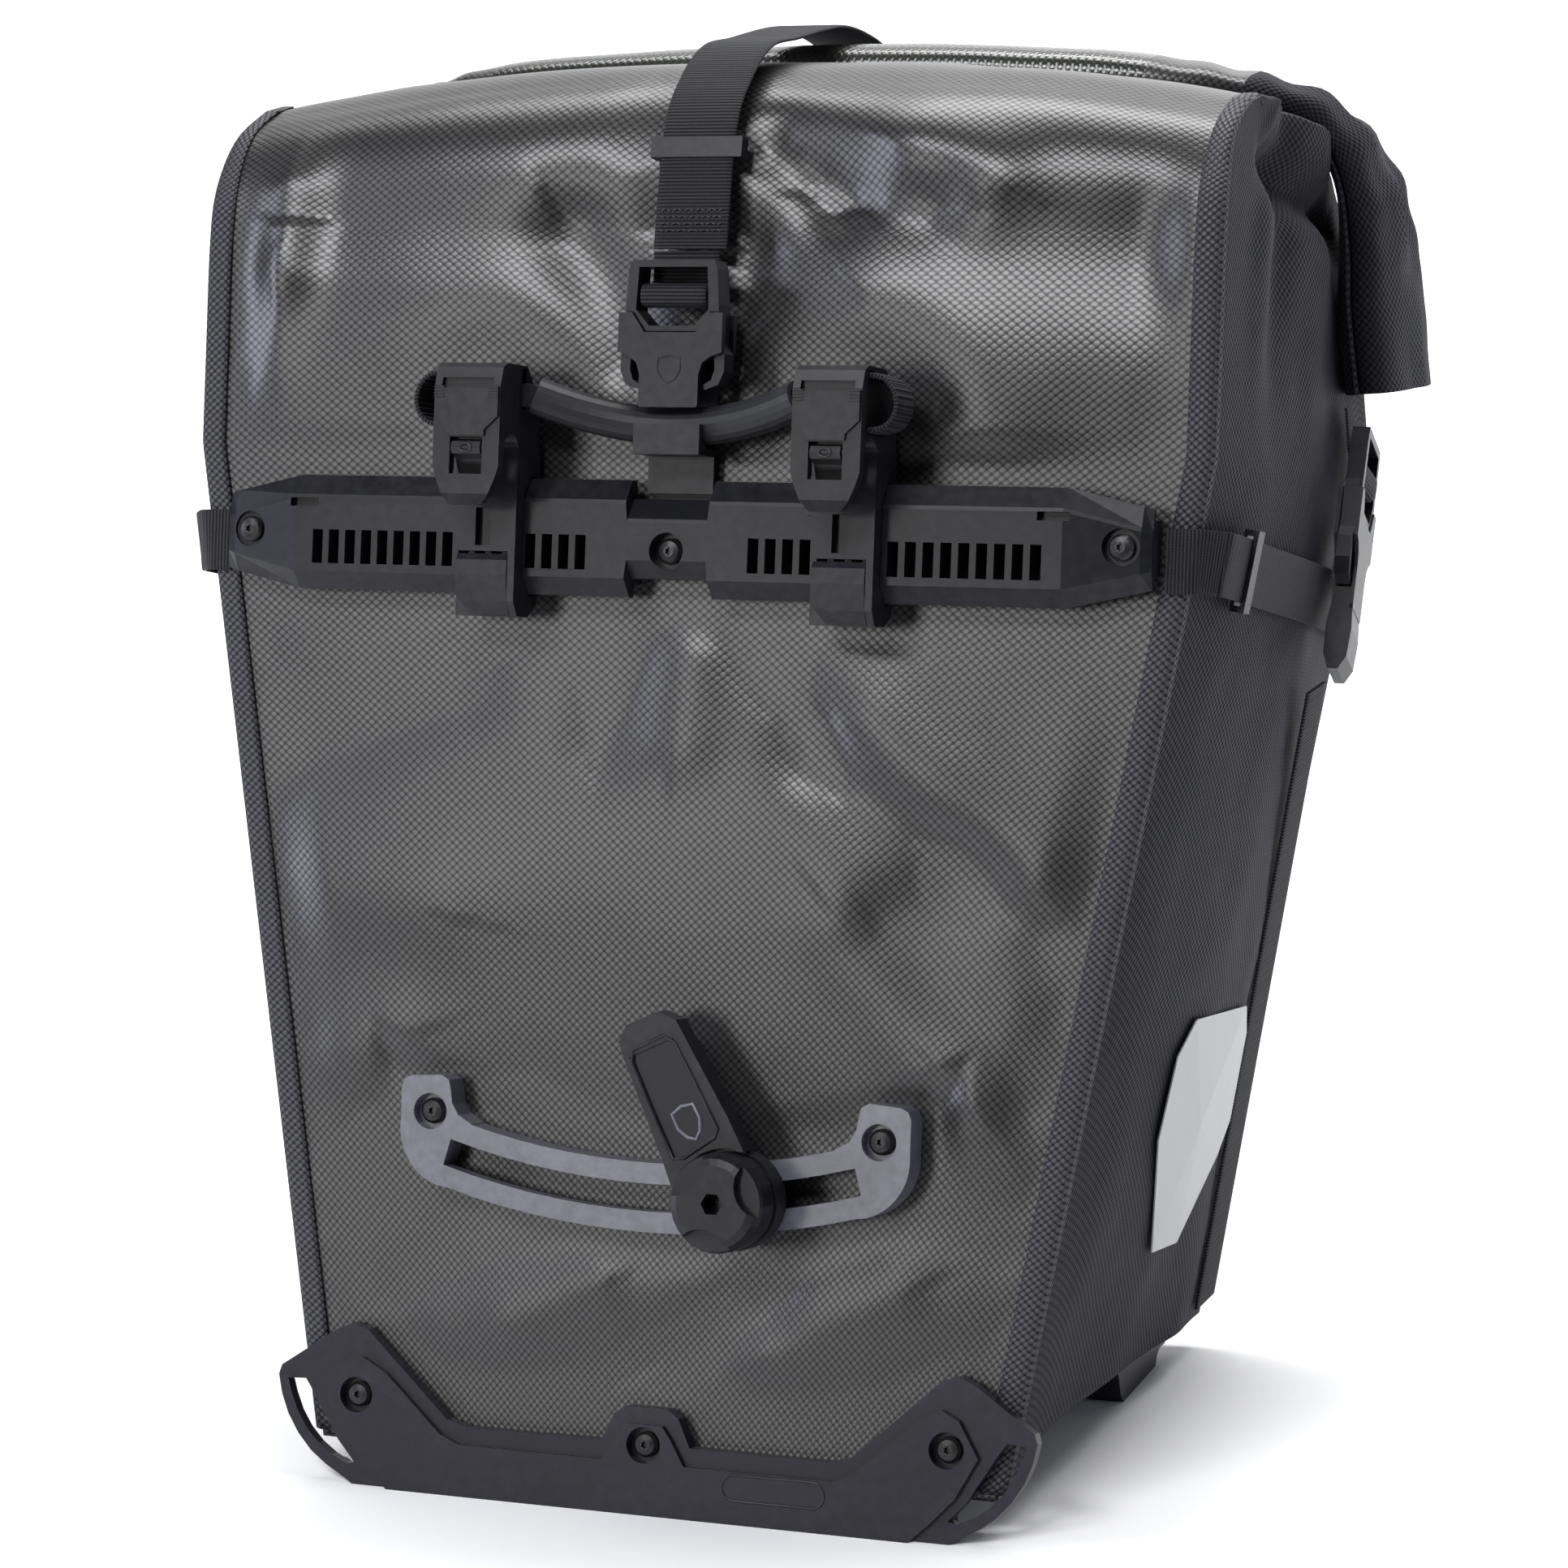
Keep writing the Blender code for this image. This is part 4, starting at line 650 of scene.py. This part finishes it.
def gusset_skin(side, word):
    """Side wall with overlap strips; its top folds over in a soft hood and goes in under the roll."""
    plan = spline(GUSSET_PLAN, 2.2)
    levels = [i / 150 for i in range(151)]
    rows = []
    for level in levels:
        row = []
        for inset, y, share in plan:
            low = bottom_edge(y) + 1.2
            high = on_knots(RIDGE, y)
            z = low + level * (high - low)
            depth, inward = shoulder(z)
            along = max(y, 0) + depth * max(0.0, 1 - max(y, 0) / 58) + min(y, 0) * inward.x
            z += min(y, 0) * inward.y
            tuck = 0.11 * max(0, z - 335) * smooth(100, 160, y)
            top = smooth(395, 432, z)
            x = half_width(z) - inset * (1 - 0.35 * top) + share * bulge(z) - tuck - 2.2 * top
            inner = smooth(4, 30, y) * smooth(4, 26, DEPTH - y)
            x += inner * (0.9 * ripple(3 * side, y, z, 42, 2.0) + 0.35 * ripple(5 * side, y, z, 15, 4.0))
            hollow = math.exp(-((z - high + 17 + 0.06 * y) / 8.5) ** 2)
            hollow *= smooth(22, 52, y) * smooth(150, 118, y)
            valley = math.exp(-((y - 62 - 0.30 * (z - 380)) / 10) ** 2) * smooth(318, 405, z)
            ridge = math.exp(-((y - 38 - 0.10 * (z - 380)) / 9) ** 2) * smooth(315, 392, z)
            pouch = math.exp(-((y - 100 - 0.2 * (z - 380)) / 16) ** 2) * smooth(300, 385, z)
            x += inner * (-9.5 * hollow - 5.0 * valley + 2.2 * ridge + 2.4 * pouch)
            x += inner * 1.1 * math.exp(-((y - 118 + 0.2 * (z - 150)) / 16) ** 2) * smooth(250, 150, z)
            row.append((side * x, along, z))
        rows.append(row)
    edge = rows[-1]
    for k in range(1, 15):
        t = k / 14
        row = []
        for (x, y, z), (_, depth, _) in zip(edge, plan):
            free = smooth(0.2, 22, depth) * smooth(DEPTH - 1, DEPTH - 14, depth)
            inward = (26 * t ** 1.3) * free
            lift = (2.6 * math.sin(math.pi * min(1, t * 2.2)) - 6 * t) * free - 2.5 * t * (1 - free)
            row.append((x - side * inward, y, z + lift))
        rows.append(row)
    wall = [1.0 <= y <= DEPTH - 2.2 for _, y, _ in plan]
    piece = surface("gusset_skin_" + word, rows, ["woven_fabric", "taped_fabric"], thickness=0.6,
                    splits=lambda r, c: 0 if wall[c] and wall[c + 1] else 1)
    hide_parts("gusset_" + word)


# ---------------------------------------------------------------- the roll closure
ROLL_AXIS = [(0, 104, 450), (60, 104.5, 449), (112, 108, 446), (140, 116, 442.5), (157, 127, 439.5),
             (168, 137, 430), (174.5, 145, 412), (178, 151, 383), (180, 156, 355)]


def roll_section(half_depth, half_height, turns=2.6, thick=1.3):
    """Outline of a flattened spiral of fabric."""
    outer, inner = [], []
    steps = int(turns * 30)
    for i in range(steps + 1):
        t = i / steps
        angle = math.radians(-160) + 2 * math.pi * turns * t
        a = half_depth - (half_depth - 18) * t
        b = half_height - (half_height - 2.6) * t
        for line, less in ((outer, 0), (inner, min(thick, (half_height - 2.6) / turns * 0.62))):
            c, s = math.cos(angle), math.sin(angle)
            line.append(((a - less) * math.copysign(abs(c) ** 0.75, c),
                         (b - less) * math.copysign(abs(s) ** 0.75, s)))
    return outer + inner[::-1]


def roll_skin():
    """Rolled closure; its matt ends are folded down over the gussets and hang a little open."""
    axis = spline([(-x, y, z) for x, y, z in reversed(ROLL_AXIS[1:])] + ROLL_AXIS, 2.6)
    rows = []
    for i, centre in enumerate(axis):
        ahead = axis[min(i + 2, len(axis) - 1)] - axis[max(i - 2, 0)]
        up = Vector((-ahead.z, 0, ahead.x)).normalized()
        bend = smooth(96, 172, abs(centre.x))
        hang = smooth(438, 372, centre.z)
        row = []
        for a, b in roll_section(27, 13 - 5.2 * bend):
            share = a / 27
            sag = 1.3 * bend * ripple(centre.x * 0.7, a * 1.3, centre.z * 0.7, 13, 5)
            sag += 0.5 * ripple(centre.x, a, b, 30, 2)
            crease = 1.9 * math.exp(-((share + 0.25 - 0.5 * hang) / 0.16) ** 2) * bend
            crease -= 1.6 * math.exp(-((share - 0.42 + 0.3 * hang) / 0.2) ** 2) * bend * (0.4 + 0.6 * hang)
            pleat = 1.1 * bend * (1 - hang) * math.sin(i * 0.9 + 3 * share)
            outer = smooth(2, 7, b)
            if b < 0:
                b *= 1 + 0.85 * hang
            place = centre + Vector((0, a + 3.5 * hang * share, 4.0 * hang * share))
            row.append(tuple(place + up * (b + sag * 0.8 + (crease + pleat) * outer)))
        rows.append(row)
    reach = [abs(point.x) for point in axis]
    piece = surface("roll_skin", rows, ["rolled_fabric", "coated_fabric", "woven_fabric"], closed_rows=True,
                    caps=True, splits=lambda r, c: 0 if reach[r] < 112 else (1 if reach[r] < 143 else 2))
    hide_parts("roll_top")


# ---------------------------------------------------------------- straps
def top_strap():
    course = [(-3.6, 384), (1.2, 421), (12, 437.8), (28, 449.8), (50, 455.5), (74, 461.6), (90, 464.6),
              (108, 464.9), (126, 462.6), (141, 454.5), (154, 441), (164, 421), (171, 390), (173, 350),
              (173, 332)]
    path = [(0, y, z) for y, z in course]
    piece = ribbon("top_strap_webbing", path, (1, 0, 0), 12, ride=False)
    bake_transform(piece)
    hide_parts("top_strap")


def top_strap_stitching():
    """Box of thread where the strap's folded end is sewn above the buckle."""
    bm = bmesh.new()
    for row in range(4):
        z = 389.5 + row * 2.1
        for k in range(11):
            x = -9.5 + k * 1.9
            add_stitch(bm, (x, -4.9 + 0.12 * (z - 384), z), (1.25, 0, 0.5 if (k + row) % 2 else -0.5), 0.24)
    finished("top_strap_stitching", bm, "stitch_thread", body="top_male")


def add_stitch(bm, middle, half, radius):
    """A short rounded thread between middle - half and middle + half, in the bag's frame."""
    middle, half = Vector(middle), Vector(half) / 2
    side = half.cross(Vector((0, 1, 0))).normalized()
    rings = []
    for t, r in ((-1, 0.35), (-0.6, 1), (0.6, 1), (1, 0.35)):
        ring = []
        for k in range(6):
            angle = math.pi * k / 3
            off = side * math.cos(angle) + Vector((0, 1, 0)) * math.sin(angle)
            ring.append(bm.verts.new(at(middle + half * t + off * radius * r)))
        rings.append(ring)
    for low, high in zip(rings, rings[1:]):
        for k in range(6):
            bm.faces.new((low[k], low[(k + 1) % 6], high[(k + 1) % 6], high[k]))
    bm.faces.new(rings[0][::-1])
    bm.faces.new(rings[-1])


def buckle_loop():
    course = [(-5.8, 383), (-5.8, 374), (-8.6, 371.8), (-13.9, 371.7), (-15.1, 369.2), (-14.1, 366.5),
              (-9.6, 366.2), (-7.6, 368.6)]
    path = [(0, y, z) for y, z in course]
    piece = ribbon("buckle_loop_webbing", path, (1, 0, 0), 10.8, body="top_male", step=0.3, rib=0.09)
    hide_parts("buckle_loop")


def side_straps():
    for side, word in SIDES:
        width = half_width(292)
        plan = [(154.5, -2.2), (width - 4, -2.4), (width - 0.5, -2.1), (width + 2.6, 0), (width + 6.2, 5),
                (width + STRAP_STAND, 12), (width + STRAP_STAND, 58), (width + 7.7, 86), (width + 6.7, 114),
                (width + 4.8, 142), (width + 2.6, 160), (width + 1.4, DEPTH), (width - 1.5, DEPTH + 2.4),
                (width - 8, DEPTH + 3), (width - 26, DEPTH + 3)]
        path = [(side * x, y, 292.5 - 0.055 * max(0, y)) for x, y in plan]

        def upright(point, side=side):
            reach = min(1, max(0, (abs(point.x) - 150) / 12))
            return Vector((side * SIDE_SLOPE * reach, 0, 1))

        piece = ribbon("side_strap_webbing_" + word, path, upright, 9.5)
        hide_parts("side_strap_" + word)


def side_webbing():
    """Taut webbing from the side buckle's adjuster down to the lower street-side corner."""
    for side, word in SIDES:
        top, low = Vector((side * 169.6, 110, 258)), Vector((side * 124.8, 163, 57))
        down = (low - top).normalized()
        across = Vector((0, 1, 0)) - down * down.y
        path = [tuple(top + (low - top) * t) for t in (0, 0.25, 0.5, 0.75, 1)]
        piece = ribbon("side_webbing_strap_" + word, path, across, 8.5, thickness=1.2, ride=False)
        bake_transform(piece)
        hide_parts("side_webbing_" + word)


def hook_loops():
    """Ribbed webbing loop that stands out from each hook's outer side."""
    for side, word in SIDES:
        course = [(6.9, 344.2), (11.4, 344.2), (15.6, 343.2), (18.6, 340), (19.7, 336), (18.8, 332),
                  (15.9, 329.1), (11.4, 328.2), (6.9, 328.2)]
        path = [(side * (HOOK_X + u), -22.3, z) for u, z in course]
        piece = ribbon("hook_loop_" + word, path, (0, 1, 0), 7.0, thickness=1.5, body="hook_" + word,
                       rib=0.22, pitch=1.9, step=0.3)
        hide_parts("handle_webbing_" + word)


def side_loops():
    """Webbing from under the roll's end round the bar of each side buckle."""
    tilt = SIDE_BUCKLE_TILT
    for side, word in SIDES:
        def hung(depth, height, side=side):
            """Point `depth` outward of the buckle's middle plane and `height` up along the buckle."""
            x = side * (SIDE_BUCKLE.x + depth)
            return x, SIDE_BUCKLE.y + height * math.sin(tilt), SIDE_BUCKLE.z + height * math.cos(tilt)

        path = [hung(-5.2, 66), hung(-4.4, 62), hung(-2.6, 52), hung(-1.2, 48.4), hung(2.2, 48.3),
                hung(2.9, 45), hung(2.2, 41.4), hung(-0.8, 41.2), hung(-2.0, 44.2)]
        across = (0, math.cos(tilt), -math.sin(tilt))
        piece = ribbon("side_loop_" + word, path, across, 8.6, thickness=0.9, step=0.3)
        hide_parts("side_buckle_loop_" + word)


def outline_ring(name, outline, face, height, width, finish, body):
    """A raised rounded line round a closed (x, z) outline on a face at depth `face`."""
    path = [Vector((x, face, z)) for x, z in outline]
    bm = bmesh.new()
    rings = []
    for i, here in enumerate(path):
        ahead = (path[(i + 1) % len(path)] - path[i - 1]).normalized()
        side = Vector((ahead.z, 0, -ahead.x))
        rings.append([bm.verts.new(at(here + side * (width / 2 * u) + Vector((0, -height * v, 0))))
                      for u, v in ((-1, -0.3), (-0.75, 0.75), (0, 1), (0.75, 0.75), (1, -0.3))])
    for i, ring in enumerate(rings):
        after = rings[(i + 1) % len(rings)]
        for k in range(5):
            bm.faces.new((ring[k], ring[(k + 1) % 5], after[(k + 1) % 5], after[k]))
    bmesh.ops.recalc_face_normals(bm, faces=bm.faces)
    finished(name, bm, finish, body=body, sharp=60)


def hook_details():
    """Grip ribs under each hook's cap and the oval head on each latch barrel."""
    for side, word in SIDES:
        x = side * HOOK_X
        bm = bmesh.new()
        profile = ((-0.3, -33.9), (-0.16, -35.37), (0.16, -35.37), (0.3, -33.9))
        for flank in (-9.0, 9.0):
            for k in range(4):
                z = 336.3 + 0.95 * k
                low, high = x + flank - 1.7, x + flank + 1.7
                ring = [[bm.verts.new(at((u, y, z + v))) for v, y in profile]
                        for u in (low, low + 0.3, high - 0.3, high)]
                for a, b in zip(ring, ring[1:]):
                    for i in range(4):
                        bm.faces.new((a[i], a[(i + 1) % 4], b[(i + 1) % 4], b[i]))
                bm.faces.new(ring[0])
                bm.faces.new(ring[-1][::-1])
        bmesh.ops.recalc_face_normals(bm, faces=bm.faces)
        finished("hook_ribs_" + word, bm, "hard_plastic", body="hook_" + word)
        turns = [math.pi * k / 10 for k in range(20)]
        oval = [(x + 1.9 * math.cos(a), LATCH_Z + 1.25 * math.sin(a)) for a in turns]
        outline_ring("latch_mark_" + word, oval, LATCH_Y - 2.55, 0.3, 0.7, "black_steel", "latch_" + word)


def embossed_marks():
    """Plain pill on the protector, shield outlines on the buckle and the anchor's arm, and the arm's rim."""
    pill = []
    for k in range(28):
        angle = 2 * math.pi * k / 28
        shift = 12.6 if math.cos(angle) > 0 else -12.6
        pill.append((43 + shift + 4.0 * math.cos(angle), 9.6 + 4.0 * math.sin(angle)))
    outline_ring("protector_badge", pill, -6.9, 0.35, 0.9, "guard_plastic", "bag")
    shield = [(-4.2, 3.6), (0, 4.4), (4.2, 3.6), (4.4, -0.6), (2.6, -3.6), (0, -5.2), (-2.6, -3.6),
              (-4.4, -0.6)]
    outline_ring("buckle_shield", [(0.85 * x, 346.6 + 0.85 * z) for x, z in shield], -16.8, 0.25, 0.6,
                 "hard_plastic", "bag")
    bolt_z = ARC_CENTRE_Z - math.sqrt(ARC_RADIUS ** 2 - BOLT_X ** 2)

    def on_arm(u, v):
        """Bag-frame (x, z) of a point u across and v along the anchor's arm."""
        c, s = math.cos(ARM_ANGLE), math.sin(ARM_ANGLE)
        return BOLT_X + u * c - v * s, bolt_z + u * s + v * c

    badge = [on_arm(0.9 * x, 26.5 + 1.15 * z) for x, z in shield]
    outline_ring("anchor_shield", badge, -21.3, 0.5, 1.2, "grey_plastic", "anchor_arm")
    rim = [(-9.4, 18.6), (-9.1, 34), (-8.4, 50), (-6.4, 53.4), (4.6, 53), (7.0, 49.4), (7.7, 34), (8.0, 20.4),
           (6, 18.4), (-6, 17.2)]
    outline_ring("anchor_rim", [on_arm(u, v) for u, v in rim], -22.0, 0.5, 1.3, "hard_plastic", "anchor_arm")


# ---------------------------------------------------------------- moulded parts
FINISHES = {
    "hard_plastic": ["rail", "hook_body_", "lock_lever_", "handle_clip", "strap_keeper", "strap_slider_",
                     "top_buckle_", "side_buckle_male_", "side_buckle_female_", "anchor_hook", "anchor_knob"],
    "grey_plastic": ["arc_rail"],
    "guard_plastic": ["edge_protector", "foot_"],
    "rubber": ["handle_sleeve", "buckle_strap"],
    "black_steel": ["rail_screw_", "rail_nut_", "arc_screw_", "protector_screw_", "anchor_bolt", "latch_pin_",
                    "hook_latch_"],
    "webbing": ["handle_core"],
    "liner_board": ["back_stiffener", "roll_stiffener"],
    "reflective": ["reflector_"],
}
# rounding of the moulded parts' edges; a name ending in _ stands for all that begin so
EDGES = {"rail": 1.0, "edge_protector": 1.5, "arc_rail": 1.3, "foot_": 2.2, "anchor_hook": 0.9,
         "hook_body_": 0.8, "handle_clip": 0.5, "top_buckle_": 0.7, "anchor_knob": 0.8, "lock_lever_": 0.7,
         "side_buckle_": 0.5}
PLAIN_EDGE = 0.3


def fits(name, stem):
    return name == stem or (stem.endswith("_") and name.startswith(stem))


def dress_cad_nodes():
    """Finishes and rounded edges for the CAD nodes that stay in view."""
    for finish, stems in FINISHES.items():
        for name, obj in frame["nodes"].items():
            if obj.hide_render or not any(fits(name, stem) for stem in stems):
                continue
            obj.data.materials.clear()
            obj.data.materials.append(MATERIALS[finish])
            obj.data.shade_smooth()
            obj.data.set_sharp_from_angle(angle=math.radians(32))
            flat = obj.modifiers.new("planar", "DECIMATE")
            flat.decimate_type = "DISSOLVE"
            flat.angle_limit = math.radians(1.5)
            sizes = [size for stem, size in EDGES.items() if fits(name, stem)] + [PLAIN_EDGE]
            bevel = obj.modifiers.new("edges", "BEVEL")
            bevel.width = sizes[0] * MM
            bevel.segments = 3
            bevel.limit_method = "ANGLE"
            bevel.angle_limit = math.radians(33)
            bevel.harden_normals = True


# ---------------------------------------------------------------- stage
def stage():
    """Pale floor that sweeps up into a backdrop behind the bag, and soft lights.

    The room is pale to the camera and dim as a light, so that the softboxes shape the folds.
    """
    profile = [(-0.95, 0), (0, 0), (2.2, 0)]
    profile += [(2.2 + math.sin(a), 1 - math.cos(a)) for a in (math.pi / 2 * k / 12 for k in range(1, 13))]
    profile += [(3.2, 2.2), (3.2, 4.0)]
    bm = bmesh.new()
    rows = [[bm.verts.new((x, y, z)) for x in (-5, -2, 2, 5)] for y, z in profile]
    for low, high in zip(rows, rows[1:]):
        for k in range(3):
            bm.faces.new((low[k], low[k + 1], high[k + 1], high[k]))
    mesh = bpy.data.meshes.new("floor")
    bm.to_mesh(mesh)
    bm.free()
    mesh.shade_smooth()
    mesh.materials.append(stage_floor())
    floor = bpy.data.objects.new("floor", mesh)
    bpy.context.scene.collection.objects.link(floor)

    world = bpy.data.worlds.new("studio")
    bpy.context.scene.world = world
    world.use_nodes = True
    background = world.node_tree.nodes["Background"]
    background.inputs["Color"].default_value = (0.86, 0.89, 1.0, 1)
    seen = world.node_tree.nodes.new("ShaderNodeLightPath").outputs["Is Camera Ray"]
    level = world.node_tree.nodes.new("ShaderNodeMapRange")
    level.inputs["To Min"].default_value = 0.07
    level.inputs["To Max"].default_value = 0.95
    world.node_tree.links.new(seen, level.inputs["Value"])
    world.node_tree.links.new(level.outputs["Result"], background.inputs["Strength"])

    def softbox(name, place, aim, size, power, colour=(1, 1, 1)):
        data = bpy.data.lights.new(name, "AREA")
        data.shape = "RECTANGLE"
        data.size, data.size_y = size
        data.energy = power
        data.color = colour
        lamp = bpy.data.objects.new(name, data)
        lamp.location = place
        lamp.rotation_euler = (Vector(aim) - Vector(place)).to_track_quat("-Z", "Y").to_euler()
        bpy.context.scene.collection.objects.link(lamp)

    softbox("key", (-0.35, -1.8, 1.95), (0, 0, 0.3), (1.3, 0.4), 44, (0.98, 0.985, 1.0))
    softbox("front", (-0.85, -2.15, 0.74), (0, 0, 0.25), (0.5, 0.7), 11, (1.0, 0.985, 0.965))
    softbox("top", (0.1, 0.5, 2.2), (0, 0.1, 0.3), (1.6, 1.0), 24)
    softbox("left", (-1.7, -0.9, 0.6), (0, 0, 0.25), (0.5, 1.5), 22, (0.82, 0.85, 1.0))
    softbox("side", (2.2, -0.3, 1.1), (0, 0, 0.25), (0.8, 1.2), 4.5, (0.76, 0.79, 1.0))
    softbox("backdrop", (0, 1.2, 3.2), (0, 3.2, 0.6), (4.0, 1.0), 170)


def camera():
    data = bpy.data.cameras.new("camera")
    data.sensor_width = 36
    data.lens = 111.896
    data.clip_start = 0.05
    obj = bpy.data.objects.new("camera", data)
    bpy.context.scene.collection.objects.link(obj)
    right = Vector((0.92734069, 0.37061464, -0.05180772))
    up = Vector((-0.03885012, 0.23304091, 0.97169059))
    back = Vector((0.37219607, -0.89907548, 0.23050675))
    basis = Matrix((right, up, back)).transposed().to_4x4()
    obj.matrix_world = Matrix.Translation((0.58406536, -1.39906038, 0.55614311)) @ basis
    bpy.context.scene.camera = obj


def main():
    camera()
    rear_skin()
    street_skin()
    base_skin()
    for side, word in SIDES:
        gusset_skin(side, word)
    roll_skin()
    top_strap()
    buckle_loop()
    side_straps()
    side_webbing()
    hook_loops()
    side_loops()
    top_strap_stitching()
    embossed_marks()
    hook_details()
    dress_cad_nodes()
    stage()
    bpy.context.scene.view_settings.view_transform = "Standard"


main()
